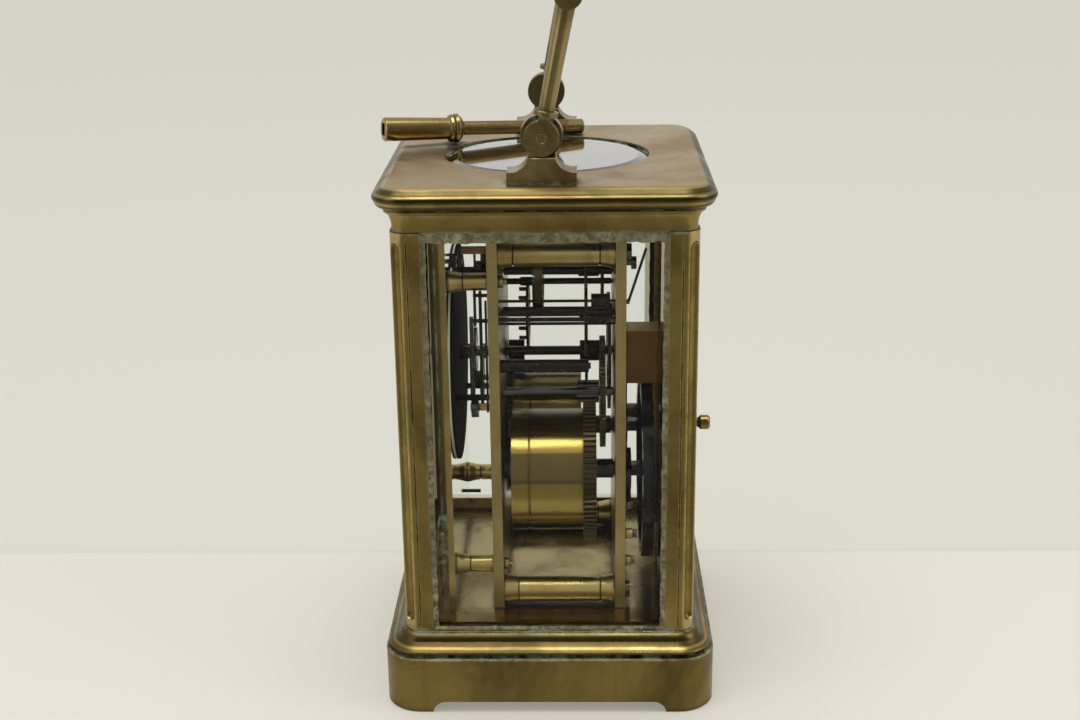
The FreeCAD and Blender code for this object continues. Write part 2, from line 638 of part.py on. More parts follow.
def make_pillar(sx, sy):
    """Corner pillar with a rounded and fluted outer corner and grooves for the panes."""
    inner_x = CASE_HALF_X - PILLAR_SIZE
    inner_y = CASE_HALF_Y - PILLAR_SIZE
    post = box(inner_x, CASE_HALF_X, inner_y, CASE_HALF_Y, MOULDING_TOP, PILLAR_TOP)
    outer = [e for e in post.Edges
             if all(abs(v.X - CASE_HALF_X) < TINY and abs(v.Y - CASE_HALF_Y) < TINY for v in e.Vertexes)]
    post = post.makeFillet(CORNER_RADIUS, outer)
    out = (CORNER_RADIUS + FLUTE_CENTRE_OUT) * math.sqrt(0.5)
    flute_x = CASE_HALF_X - CORNER_RADIUS + out
    flute_y = CASE_HALF_Y - CORNER_RADIUS + out
    low = MOULDING_TOP + FLUTE_END + FLUTE_RADIUS
    high = PILLAR_TOP - FLUTE_END - FLUTE_RADIUS
    cuts = [rod(FLUTE_RADIUS, (flute_x, flute_y, low), (flute_x, flute_y, high))]
    cuts += [Part.makeSphere(FLUTE_RADIUS, Vector(flute_x, flute_y, z)) for z in (low, high)]
    half = QUIRK_WIDTH / 2
    groove_x = CASE_HALF_X - QUIRK_FROM_EDGE
    groove_y = CASE_HALF_Y - QUIRK_FROM_EDGE
    quirk_low = MOULDING_TOP + FLUTE_END / 2
    quirk_high = PILLAR_TOP - FLUTE_END / 2
    cuts.append(box(groove_x - half, groove_x + half, CASE_HALF_Y - QUIRK_DEPTH, CASE_HALF_Y + 1,
                    quirk_low, quirk_high))
    cuts.append(box(CASE_HALF_X - QUIRK_DEPTH, CASE_HALF_X + 1, groove_y - half, groove_y + half,
                    quirk_low, quirk_high))
    gap = GLASS_GROOVE_GAP
    cuts.append(box(PANE_IN_X - gap, PANE_OUT_X + gap, inner_y - 1, inner_y + GLASS_GROOVE,
                    MOULDING_TOP - 1, PILLAR_TOP + 1))
    if sy < 0:
        cuts.append(box(inner_x - 1, inner_x + GLASS_GROOVE, PANE_IN_Y - gap, PANE_OUT_Y + gap,
                        MOULDING_TOP - 1, PILLAR_TOP + 1))
    x, y = screw_places()[0]
    screw_top = MOULDING_TOP + CASE_SCREW_HEAD_HEIGHT * 3
    cuts.append(rod(CASE_SCREW_RADIUS + RUN_GAP, (x, y, MOULDING_TOP - 1), (x, y, screw_top + SLIDE_GAP)))
    post = cut_all(post, cuts)
    if sx < 0:
        post = mirrored_x(post)
    if sy < 0:
        post = post.mirror(Vector(), Vector(0, 1, 0))
    return post


def make_cornice():
    """Cornice with the flat top, its oval window and the door's upper pin hole."""
    low = PILLAR_TOP
    top = CASE_TOP
    slab = solid_band(to_size(CORNICE_OUTLINE, CORNICE_PROJECTION, low, top), low, top)
    inner_x = PANE_IN_X - CORNICE_WALL_INSIDE
    inner_y = PANE_IN_Y - CORNICE_WALL_INSIDE
    hollow = rounded_box(inner_x, inner_y, CORNER_RADIUS / 2, low - 1, top - TOP_THICKNESS)
    hinge_x, hinge_y = door_hinge()
    pin_top = low + DOOR_PIN_LENGTH
    pin_hole = rod(DOOR_PIN_RADIUS + RUN_GAP, (hinge_x, hinge_y, low - 1), (hinge_x, hinge_y, pin_top))
    glass_seat = top - TOP_GLASS_SUNK - TOP_GLASS_THICKNESS - SEAT_GAP
    window = oval_prism(SEAT_GAP * 2, glass_seat, top + 1)
    ledge = oval_prism(-OVAL_LEDGE, top - TOP_THICKNESS - 1, top)
    return cut_all(slab, [hollow, pin_hole, window, ledge])


def oval_prism(grow, z0, z1):
    """An upright oval prism, its half axes those of the top glass plus grow."""
    ellipse = Part.Ellipse(Vector(0, 0, z0), OVAL_LENGTH / 2 + grow, OVAL_WIDTH / 2 + grow).toShape()
    ellipse.rotate(Vector(0, 0, z0), Vector(0, 0, 1), 90)
    return Part.Face(Part.Wire([ellipse])).extrude(Vector(0, 0, z1 - z0))


def make_top_glass():
    """Oval glass with a bevelled edge."""
    top = CASE_TOP - TOP_GLASS_SUNK
    glass = oval_prism(0, top - TOP_GLASS_THICKNESS, top)
    rim = [e for e in glass.Edges if abs(e.BoundBox.ZMin - top) < TINY and abs(e.BoundBox.ZMax - top) < TINY]
    return glass.makeChamfer(TOP_GLASS_THICKNESS / 2, BEVEL_WIDTH, rim)


def make_pane(half_length, along_y):
    """Upright pane with its front bevelled; it stands along Y or X, its outer face outwards."""
    outer = PANE_OUT_X if along_y else PANE_OUT_Y
    low = MOULDING_TOP + SEAT_GAP
    high = PILLAR_TOP - SEAT_GAP
    back = outer - GLASS_THICKNESS
    flat = [(-half_length, low), (half_length, low), (half_length, high), (-half_length, high)]
    inner_u = half_length - BEVEL_WIDTH
    inner_z = {low: low + BEVEL_WIDTH, high: high - BEVEL_WIDTH}
    inner = [(math.copysign(inner_u, u), inner_z[z]) for u, z in flat]

    def at(out, u, z):
        return Vector(out, u, z) if along_y else Vector(u, out, z)

    slab = polygon_face([at(back, u, z) for u, z in flat]).extrude(at(GLASS_THICKNESS - BEVEL_DEPTH, 0, 0))
    lower = Part.makePolygon([at(outer - BEVEL_DEPTH, u, z) for u, z in flat + flat[:1]])
    upper = Part.makePolygon([at(outer, u, z) for u, z in inner + inner[:1]])
    return slab.fuse(Part.makeLoft([lower, upper], True, True)).removeSplitter()


def build_case():
    """All fixed pieces of the case."""
    parts["plinth"] = make_plinth()
    parts["base_moulding"] = make_base_moulding()
    floor_half_x = PANE_IN_X - SLIDE_GAP
    floor_half_y = CASE_HALF_Y - PILLAR_SIZE - SLIDE_GAP
    parts["floor_plate"] = box(-floor_half_x, floor_half_x, -floor_half_y, floor_half_y,
                               MOULDING_TOP, FLOOR_TOP)
    for side, sx in (("right", 1), ("left", -1)):
        for end, sy in (("front", -1), ("rear", 1)):
            parts[f"pillar_{end}_{side}"] = make_pillar(sx, sy)
    parts["cornice"] = make_cornice()
    parts["top_glass"] = make_top_glass()
    groove_x = CASE_HALF_X - PILLAR_SIZE + GLASS_GROOVE - GLASS_GROOVE_GAP
    groove_y = CASE_HALF_Y - PILLAR_SIZE + GLASS_GROOVE - GLASS_GROOVE_GAP
    parts["side_glass_right"] = make_pane(groove_y, True)
    parts["side_glass_left"] = mirrored_x(parts["side_glass_right"])
    parts["front_glass"] = make_pane(groove_x, False).mirror(Vector(), Vector(0, 1, 0))
    screw_top = MOULDING_TOP + CASE_SCREW_HEAD_HEIGHT * 3
    screw_foot = PLINTH_HEIGHT - CASE_SCREW_HEAD_HEIGHT
    screws = [joined([rod(CASE_SCREW_RADIUS, (x, y, screw_foot), (x, y, screw_top)),
                      rod(CASE_SCREW_HEAD_RADIUS, (x, y, screw_foot), (x, y, PLINTH_HEIGHT))])
              for x, y in screw_places()]
    parts["case_screws"] = Part.Compound(screws)
    head_holes = [rod(CASE_SCREW_HEAD_RADIUS + SLIDE_GAP, (x, y, -1), (x, y, PLINTH_HEIGHT))
                  for x, y in screw_places()]
    parts["plinth"] = cut_all(parts["plinth"], head_holes)


# ---- Handle -----------------------------------------------------------------------------------
def make_bracket():
    """Right-hand handle bracket: foot with swept shoulders, ledge and ear."""
    inner_x = BRACKET_IN_X
    half = BRACKET_LENGTH / 2
    neck = BRACKET_NECK_WIDTH / 2
    middle = -PIVOT_FORWARD
    ledge_z = CASE_TOP + BRACKET_LEDGE_HEIGHT

    def at(y, z):
        return Vector(inner_x, middle + y, z)

    shoulder = CASE_TOP + BRACKET_END_HEIGHT
    sweep = (neck + (half - neck) * BRACKET_SWEEP[0], shoulder + (ledge_z - shoulder) * BRACKET_SWEEP[1])
    edges = [line(at(-half, CASE_TOP), at(half, CASE_TOP)),
             line(at(half, CASE_TOP), at(half, shoulder)),
             arc(at(half, shoulder), at(*sweep), at(neck, ledge_z)),
             line(at(neck, ledge_z), at(-neck, ledge_z)),
             arc(at(-neck, ledge_z), at(-sweep[0], sweep[1]), at(-half, shoulder)),
             line(at(-half, shoulder), at(-half, CASE_TOP))]
    foot = Part.Face(Part.Wire(edges)).extrude(Vector(BRACKET_THICKNESS, 0, 0))
    ear_in = EAR_OUT_X - EAR_THICKNESS
    ear = rod(EAR_RADIUS, (ear_in, middle, PIVOT_Z), (EAR_OUT_X, middle, PIVOT_Z))
    stem = box(ear_in, EAR_OUT_X, middle - neck, middle + neck, ledge_z - 1, PIVOT_Z)
    knuckle_room = rod(KNUCKLE_RADIUS + SLIDE_GAP, (EAR_OUT_X, middle, PIVOT_Z),
                       (BRACKET_OUT_X + 1, middle, PIVOT_Z))
    pin_hole = rod(PIVOT_PIN_RADIUS, (ear_in - 1, middle, PIVOT_Z), (EAR_OUT_X + 1, middle, PIVOT_Z))
    return joined([foot, ear, stem]).cut(knuckle_room).cut(pin_hole)


def make_arm():
    """Right-hand arm of the handle, upright, with its knuckle, collar and eye."""
    middle = -PIVOT_FORWARD
    knuckle = rod(KNUCKLE_RADIUS, (KNUCKLE_IN_X, middle, PIVOT_Z), (KNUCKLE_OUT_X, middle, PIVOT_Z))
    eye_z = PIVOT_Z + GRIP_FROM_PIVOT
    stem = turned([(COLLAR_START - ARM_ROOT_LENGTH, ARM_ROOT_RADIUS), (COLLAR_START, ARM_ROOT_RADIUS),
                   (COLLAR_START, COLLAR_RADIUS), (COLLAR_START + COLLAR_THICKNESS, COLLAR_RADIUS),
                   (COLLAR_START + COLLAR_THICKNESS, ARM_BOTTOM_RADIUS),
                   (GRIP_FROM_PIVOT, ARM_TOP_RADIUS)], (ARM_X, middle, PIVOT_Z), (0, 0, 1))
    eye_half = ARM_EYE_THICKNESS / 2
    eye = rod(ARM_EYE_RADIUS, (ARM_X - eye_half, middle, eye_z), (ARM_X + eye_half, middle, eye_z))
    hole = rod(PIVOT_PIN_RADIUS + RUN_GAP, (KNUCKLE_IN_X - 1, middle, PIVOT_Z),
               (KNUCKLE_OUT_X + 1, middle, PIVOT_Z))
    rod_hole = rod(GRIP_ROD_RADIUS, (0, middle, eye_z), (ARM_X + eye_half - GRIP_ROD_INSET, middle, eye_z))
    return joined([knuckle, stem, eye]).cut(hole).cut(rod_hole)


def build_handle():
    """Brackets, pivot pins, arms and grip."""
    middle = -PIVOT_FORWARD
    pivot = Vector(0, middle, PIVOT_Z)
    eye_z = PIVOT_Z + GRIP_FROM_PIVOT
    bracket = make_bracket()
    parts["bracket_right"] = bracket
    parts["bracket_left"] = mirrored_x(bracket)
    pin_in = EAR_OUT_X - EAR_THICKNESS
    pin_out = EAR_OUT_X + SLIDE_GAP / 2 + KNUCKLE_THICKNESS
    pin = rod(PIVOT_PIN_RADIUS, (pin_in, middle, PIVOT_Z), (pin_out, middle, PIVOT_Z))
    parts["handle_pins"] = Part.Compound([pin, mirrored_x(pin)])
    arm = make_arm()
    grip_half = ARM_X - ARM_EYE_THICKNESS / 2
    end = [(0, GRIP_END_RADIUS), (GRIP_END_STEPS[0][0], GRIP_END_RADIUS)]
    end += [(along, GRIP_RADIUS - inside) for along, inside in GRIP_END_STEPS]
    profile = end + [(2 * grip_half - along, radius) for along, radius in reversed(end)]
    grip = turned(profile, (-grip_half, middle, eye_z), (1, 0, 0))
    rod_reach = ARM_X + ARM_EYE_THICKNESS / 2 - GRIP_ROD_INSET
    grip = grip.fuse(rod(GRIP_ROD_RADIUS, (-rod_reach, middle, eye_z), (rod_reach, middle, eye_z)))
    pieces = (("handle_arm_right", arm), ("handle_arm_left", mirrored_x(arm)), ("handle_grip", grip))
    for name, shape in pieces:
        shape.rotate(pivot, Vector(1, 0, 0), -HANDLE_TILT)
        parts[name] = shape


# ---- Door -------------------------------------------------------------------------------------
def build_door():
    """Door frame with a half-round hinge edge, its pins, pane and knob."""
    hinge_x, hinge_y = door_hinge()
    free_x = CASE_HALF_X - PILLAR_SIZE - DOOR_GAP
    front = hinge_y - DOOR_THICKNESS / 2
    back = hinge_y + DOOR_THICKNESS / 2
    low = MOULDING_TOP + SLIDE_GAP
    high = PILLAR_TOP - SLIDE_GAP
    frame = joined([box(hinge_x, free_x, front, back, low, high),
                    rod(DOOR_THICKNESS / 2, (hinge_x, hinge_y, low), (hinge_x, hinge_y, high))])
    left = hinge_x - DOOR_THICKNESS / 2 + DOOR_STILE
    right = free_x - DOOR_STILE
    opening = box(left, right, front - 1, back + 1, low + DOOR_RAIL, high - DOOR_RAIL)
    glass_front = hinge_y - DOOR_GLASS_THICKNESS / 2
    glass_back = hinge_y + DOOR_GLASS_THICKNESS / 2
    reach = GLASS_GROOVE
    gap = GLASS_GROOVE_GAP
    groove = box(left - reach, right + reach, glass_front - gap, glass_back + gap,
                 low + DOOR_RAIL - reach, high - DOOR_RAIL + reach)
    knob_x = free_x - DOOR_STILE / 2
    shank_hole = rod_y(KNOB_NECK_RADIUS + RUN_GAP, knob_x, KNOB_HEIGHT, front - 1, back + 1)
    parts["door_frame"] = cut_all(frame, [opening, groove, shank_hole])
    parts["door_glass"] = box(left - reach + gap, right + reach - gap, glass_front, glass_back,
                              low + DOOR_RAIL - reach + gap, high - DOOR_RAIL + reach - gap)
    nut = KNOB_NUT_THICKNESS
    neck_end = nut + DOOR_THICKNESS + KNOB_NECK_LENGTH
    knob_end = nut + DOOR_THICKNESS + KNOB_LENGTH
    profile = [(0, KNOB_NUT_RADIUS), (nut, KNOB_NUT_RADIUS),
               (nut, KNOB_NECK_RADIUS), (neck_end, KNOB_NECK_RADIUS),
               (neck_end + KNOB_EDGE, KNOB_RADIUS - KNOB_EDGE), (neck_end + 2 * KNOB_EDGE, KNOB_RADIUS),
               (knob_end - KNOB_EDGE, KNOB_RADIUS), (knob_end, KNOB_RADIUS - KNOB_EDGE)]
    parts["door_knob"] = turned(profile, (knob_x, front - nut, KNOB_HEIGHT), (0, 1, 0))
    pin_low = low - DOOR_PIN_LENGTH + SLIDE_GAP
    pin_high = high + DOOR_PIN_LENGTH - SLIDE_GAP
    pins = [rod(DOOR_PIN_RADIUS, (hinge_x, hinge_y, pin_low), (hinge_x, hinge_y, low)),
            rod(DOOR_PIN_RADIUS, (hinge_x, hinge_y, high), (hinge_x, hinge_y, pin_high))]
    parts["door_pins"] = Part.Compound(pins)


# ---- Gears ------------------------------------------------------------------------------------
def pitch_radius(teeth, module):
    """Radius at which two wheels roll on each other."""
    return teeth * module / 2


def meet(first, first_reach, second, second_reach, side):
    """The point at two given distances from two points; side picks right (1) or left (-1)."""
    dx = second[0] - first[0]
    dz = second[1] - first[1]
    span = math.hypot(dx, dz)
    along = (first_reach ** 2 - second_reach ** 2 + span ** 2) / (2 * span)
    across = math.sqrt(first_reach ** 2 - along ** 2)
    choices = [(first[0] + (along * dx + way * across * dz) / span,
                first[1] + (along * dz - way * across * dx) / span) for way in (1, -1)]
    return max(choices, key=lambda point: side * point[0])


def above(point, reach, x):
    """The point at a given distance above another, at a given x."""
    return x, point[1] + math.sqrt(reach ** 2 - (x - point[0]) ** 2)


def mesh_phase(driver, driver_teeth, driver_phase, driven, driven_teeth):
    """Phase that puts a driven wheel's gap on the driver's tooth, angles turning right-handed about +Y."""
    angle = math.atan2(driver[1] - driven[1], driven[0] - driver[0])
    lead = (angle - driver_phase) * driver_teeth - math.pi
    return angle + math.pi + lead / driven_teeth


def mesh_reach(first_teeth, second_teeth, module):
    """Distance between the axes of two wheels that mesh."""
    return pitch_radius(first_teeth + second_teeth, module) + MESH_GAP


def tooth_ring(teeth, module, phase, tip_height):
    """Corner points of a toothed rim."""
    pitch = pitch_radius(teeth, module)
    step = 2 * math.pi / teeth
    tip = pitch + tip_height * module
    root = pitch - TOOTH_ROOT * module
    corners = ((root, -TOOTH_ROOT_SHARE), (pitch, -TOOTH_PITCH_SHARE), (tip, -TOOTH_TIP_SHARE),
               (tip, TOOTH_TIP_SHARE), (pitch, TOOTH_PITCH_SHARE), (root, TOOTH_ROOT_SHARE))
    points = []
    for tooth in range(teeth):
        for radius, share in corners:
            angle = phase + step * (tooth + share / 2)
            points.append(Vector(radius * math.cos(angle), radius * math.sin(angle), 0))
    return points


def circle_wire(radius):
    """A circle round the local origin."""
    return Part.Wire([Part.makeCircle(radius)])


def spoke_windows(inner, outer, arms):
    """Windows between the arms of a crossed-out wheel."""
    wires = []
    for index in range(arms):
        middle = 2 * math.pi * (index + 0.5) / arms
        half_in = math.pi / arms - SPOKE_WIDTH / 2 / inner
        half_out = math.pi / arms - SPOKE_WIDTH / 2 / outer

        def at(radius, angle):
            return Vector(radius * math.cos(angle), radius * math.sin(angle), 0)

        edges = [arc(at(inner, middle - half_in), at(inner, middle), at(inner, middle + half_in)),
                 line(at(inner, middle + half_in), at(outer, middle + half_out)),
                 arc(at(outer, middle + half_out), at(outer, middle), at(outer, middle - half_out)),
                 line(at(outer, middle - half_out), at(inner, middle - half_in))]
        wires.append(Part.Wire(edges))
    return wires


def disc_with(outline, holes, thickness):
    """A plate from an outline wire and hole wires."""
    return Part.Face([outline] + holes, "Part::FaceMakerBullseye").extrude(Vector(0, 0, thickness))


def crossed_wheel(teeth, module, phase, thickness, bore, arms):
    """Toothed wheel with a rim, arms and a hub, flat on the local XY plane."""
    points = tooth_ring(teeth, module, phase, TOOTH_TIP)
    rim_in = pitch_radius(teeth, module) - TOOTH_ROOT * module - RIM_WIDTH
    windows = spoke_windows(HUB_RADIUS, rim_in, arms) if arms else []
    return disc_with(Part.makePolygon(points + points[:1]), [circle_wire(bore)] + windows, thickness)


def pinion(teeth, module, phase, length, bore):
    """Solid toothed pinion, flat on the local XY plane."""
    points = tooth_ring(teeth, module, phase, PINION_TIP)
    holes = [circle_wire(bore)] if bore else []
    return disc_with(Part.makePolygon(points + points[:1]), holes, length)


def set_on_y(shape, place, y):
    """Turn a local XY shape to face along Y, its base at y and its axis at (x, z)."""
    shape.Placement = Placement(Vector(place[0], y, place[1]), Rotation(Vector(1, 0, 0), -90))
    return shape


def arbor_radius(teeth, module):
    """Radius of an arbor, no thicker than the roots of its pinion."""
    return min(ARBOR_RADIUS, pitch_radius(teeth, module) - TOOTH_ROOT * module)


def make_arbor(place, leaves, front):
    """Steel arbor from plate to plate; leaves are its pinion's (teeth, module, phase, y, length)."""
    x, z = place
    teeth, module, phase, y, length = leaves
    shapes = [rod_y(PIVOT_RADIUS, x, z, front, BACK_PLATE_BACK - ARBOR_END_GAP),
              rod_y(arbor_radius(teeth, module), x, z, FRONT_PLATE_BACK + ARBOR_END_GAP,
                    BACK_PLATE_Y - ARBOR_END_GAP),
              set_on_y(pinion(teeth, module, phase, length, 0), place, y)]
    return joined(shapes)


def make_wheel(place, leaves, wheel):
    """Wheel (teeth, module, y, thickness, arms) that fits on the arbor with the given leaves."""
    teeth, module, y, thickness, arms = wheel
    bore = arbor_radius(leaves[0], leaves[1]) + SEAT_GAP / 2
    return set_on_y(crossed_wheel(teeth, module, 0, thickness, bore, arms), place, y)


def make_mobile(place, leaves, wheel, front=FRONT_PLATE_Y + ARBOR_END_GAP):
    """A wheel and its arbor: two solids of one piece."""
    return Part.Compound([make_wheel(place, leaves, wheel), make_arbor(place, leaves, front)])


# ---- Places of the trains, the escapement and the hands ---------------------------------------
GREAT_Y = BARREL_BACK_Y + DRUM_END_GAP
GREAT_PINION_Y = GREAT_Y - PINION_AHEAD
GREAT_PINION_LENGTH = GREAT_THICKNESS + GREAT_PINION_EXTRA
INTERMEDIATE_Y = GREAT_PINION_Y + GREAT_PINION_LENGTH + PLANE_GAP
CENTRE_PINION_Y = INTERMEDIATE_Y - CENTRE_PINION_AHEAD
CENTRE_PINION_LENGTH = THICK_WHEEL + CENTRE_PINION_EXTRA
CENTRE_Y = BACK_PLATE_Y - CENTRE_FROM_PLATE
THIRD_PINION_Y = CENTRE_Y - THIRD_PINION_AHEAD
THIRD_PINION_LENGTH = WHEEL_THICKNESS + THIRD_PINION_EXTRA
CONTRATE_PINION_Y = THIRD_Y - PINION_AHEAD
STRIKE_GREAT_Y = FRONT_PLATE_BACK + STRIKE_GREAT_GAP
STRIKE_BARREL_Y = STRIKE_GREAT_Y + STRIKE_GREAT_THICKNESS
GOING_BARREL_PLACE = (BARREL_X, BARREL_Z)
STRIKE_BARREL_PLACE = (-BARREL_X, BARREL_Z)
CENTRE_PLACE = (0.0, DIAL_CENTRE_Z)
CONTRATE_PLACE = (0.0, CONTRATE_Z)
GREAT_REACH = mesh_reach(GREAT_TEETH, GREAT_PINION_TEETH, GREAT_MODULE)
INTERMEDIATE_REACH = mesh_reach(INTERMEDIATE_TEETH, CENTRE_PINION_TEETH, INTERMEDIATE_MODULE)
INTERMEDIATE_PLACE = meet(GOING_BARREL_PLACE, GREAT_REACH, CENTRE_PLACE, INTERMEDIATE_REACH, 1)
CENTRE_REACH = mesh_reach(CENTRE_TEETH, THIRD_PINION_TEETH, CENTRE_MODULE)
THIRD_REACH = mesh_reach(THIRD_TEETH, CONTRATE_PINION_TEETH, THIRD_MODULE)
THIRD_PLACE = meet(CENTRE_PLACE, CENTRE_REACH, CONTRATE_PLACE, THIRD_REACH, 1)
STRIKE_SECOND_PLACE = above(STRIKE_BARREL_PLACE, GREAT_REACH, STRIKE_SECOND_X)
STRIKE_SECOND_REACH = mesh_reach(STRIKE_SECOND_TEETH, PIN_WHEEL_PINION_TEETH, STRIKE_SECOND_MODULE)
PIN_WHEEL_PLACE = above(STRIKE_SECOND_PLACE, STRIKE_SECOND_REACH, PIN_WHEEL_X)
PIN_WHEEL_REACH = mesh_reach(PIN_WHEEL_TEETH, WARNING_PINION_TEETH, PIN_WHEEL_MODULE)
WARNING_PLACE = above(PIN_WHEEL_PLACE, PIN_WHEEL_REACH, WARNING_X)
FLY_PLACE = above(WARNING_PLACE, mesh_reach(WARNING_TEETH, FLY_PINION_TEETH, WARNING_MODULE), FLY_X)
ARBOR_PLACES = (INTERMEDIATE_PLACE, THIRD_PLACE, CONTRATE_PLACE, STRIKE_SECOND_PLACE, PIN_WHEEL_PLACE,
                WARNING_PLACE, FLY_PLACE)
CENTRE_ARBOR_END_Y = DIAL_FRONT_Y - CENTRE_ARBOR_AHEAD
HOUR_MODULE = CANNON_MODULE * (CANNON_TEETH + MINUTE_TEETH) / (MINUTE_PINION_TEETH + HOUR_TEETH)
MINUTE_REACH = mesh_reach(CANNON_TEETH, MINUTE_TEETH, CANNON_MODULE)
MINUTE_PLACE = (MINUTE_REACH * math.cos(math.radians(MINUTE_ANGLE)),
                DIAL_CENTRE_Z - MINUTE_REACH * math.sin(math.radians(MINUTE_ANGLE)))
HOUR_HAND_Y = DIAL_FRONT_Y - HAND_GAP - HAND_THICKNESS
MINUTE_HAND_Y = HOUR_HAND_Y - HAND_GAP - HAND_THICKNESS
ESCAPE_ROOT = pitch_radius(ESCAPE_PINION_TEETH, CONTRATE_MODULE) - TOOTH_ROOT * CONTRATE_MODULE
ESCAPE_Y = CONTRATE_FRONT_Y - ESCAPE_ROOT - MESH_GAP * 2
LEVER_Y = ESCAPE_Y + LEVER_TO_ESCAPE
BALANCE_Y = LEVER_Y + LEVER_TO_BALANCE
PLATFORM_TOP = PLATE_TOP + PLATFORM_THICKNESS
GONG_Z = FLOOR_TOP + GONG_CENTRE_ABOVE_FOOT
GONG_Y = BACK_PLATE_BACK + GONG_BEHIND_PLATE


def make_barrel(place, drum_y, drum_length, great_y, great_thickness):
    """Hollow spring barrel with its great wheel and cap, free on its arbor."""
    bore = BARREL_ARBOR_RADIUS + RUN_GAP
    drum = Part.makeCylinder(BARREL_RADIUS, drum_length)
    room = Part.makeCylinder(BARREL_RADIUS - BARREL_WALL, drum_length - 2 * BARREL_CAP_THICKNESS,
                             Vector(0, 0, BARREL_CAP_THICKNESS))
    cap_line = Part.makeTorus(BARREL_RADIUS, BARREL_LINE_RADIUS, Vector(0, 0, drum_length / 4))
    drum = set_on_y(drum.cut(room).cut(cap_line).cut(Part.makeCylinder(bore, drum_length)), place, drum_y)
    wheel = set_on_y(crossed_wheel(GREAT_TEETH, GREAT_MODULE, 0, great_thickness, bore, 0), place, great_y)
    return drum, wheel


def make_barrel_arbor(place):
    """Barrel arbor with its pivots, ratchet wheel and winding square."""
    x, z = place
    square = WINDING_SQUARE / 2
    back_end = BACK_PLATE_BACK + WINDING_SQUARE_LENGTH
    step = 2 * math.pi / RATCHET_TEETH
    points = []
    for tooth in range(RATCHET_TEETH):
        for radius, share in ((RATCHET_RADIUS, 0.0), (RATCHET_RADIUS - RATCHET_DEPTH, RATCHET_FACE_SHARE)):
            angle = step * (tooth + share)
            points.append(Vector(radius * math.cos(angle), radius * math.sin(angle), 0))
    ratchet = Part.Face(Part.makePolygon(points + points[:1])).extrude(Vector(0, 0, RATCHET_THICKNESS))
    ratchet_y = BACK_PLATE_BACK + ARBOR_END_GAP
    return joined([rod_y(BARREL_PIVOT_RADIUS, x, z, FRONT_PLATE_Y + ARBOR_END_GAP, ratchet_y),
                   rod_y(BARREL_ARBOR_RADIUS, x, z, FRONT_PLATE_BACK + ARBOR_END_GAP,
                         BACK_PLATE_Y - ARBOR_END_GAP),
                   set_on_y(ratchet, place, ratchet_y),
                   box(x - square, x + square, ratchet_y, back_end, z - square, z + square)])


def make_click(place, side):
    """Click whose tip lies in a tooth space of the ratchet, and the middle of its hub."""
    tip_angle = 2 * math.pi / RATCHET_TEETH * (math.floor(RATCHET_TEETH / 4) + 0.5)
    y = BACK_PLATE_BACK + ARBOR_END_GAP
    tip_radius = RATCHET_RADIUS + SLIDE_GAP / 2
    tip = (place[0] + side * tip_radius * math.cos(tip_angle), place[1] - tip_radius * math.sin(tip_angle))
    hub = (place[0] + side * CLICK_HUB_OUT, place[1] - CLICK_HUB_DOWN)
    lean = math.atan2(tip[1] - hub[1], tip[0] - hub[0])
    across = (-math.sin(lean) * CLICK_WIDTH / 2, math.cos(lean) * CLICK_WIDTH / 2)
    points = [Vector(tip[0], y, tip[1]),
              Vector(hub[0] + across[0], y, hub[1] + across[1]),
              Vector(hub[0] - across[0], y, hub[1] - across[1])]
    arm = polygon_face(points).extrude(Vector(0, RATCHET_THICKNESS, 0))
    click = arm.fuse(rod_y(CLICK_HUB_RADIUS, hub[0], hub[1], y, y + RATCHET_THICKNESS)).removeSplitter()
    return click.cut(rod_y(CLICK_STUD_RADIUS + RUN_GAP, hub[0], hub[1], y - 1, y + RATCHET_THICKNESS + 1))


def click_studs():
    """Places of the clicks' studs on the back plate."""
    return [(sx * (BARREL_X + CLICK_HUB_OUT), BARREL_Z - CLICK_HUB_DOWN) for sx in (1, -1)]


def build_barrels():
    """Both barrels, their arbors and clicks."""
    drum, wheel = make_barrel(GOING_BARREL_PLACE, BARREL_FRONT_Y, GREAT_Y - BARREL_FRONT_Y, GREAT_Y,
                              GREAT_THICKNESS)
    parts["going_barrel"] = joined([drum, wheel])
    drum, wheel = make_barrel(STRIKE_BARREL_PLACE, STRIKE_BARREL_Y, BARREL_BACK_Y - STRIKE_BARREL_Y,
                              STRIKE_GREAT_Y, STRIKE_GREAT_THICKNESS)
    parts["strike_barrel"] = joined([drum, wheel])
    parts["going_barrel_arbor"] = make_barrel_arbor(GOING_BARREL_PLACE)
    parts["strike_barrel_arbor"] = make_barrel_arbor(STRIKE_BARREL_PLACE)
    parts["going_click"] = make_click(GOING_BARREL_PLACE, 1)
    parts["strike_click"] = make_click(STRIKE_BARREL_PLACE, -1)


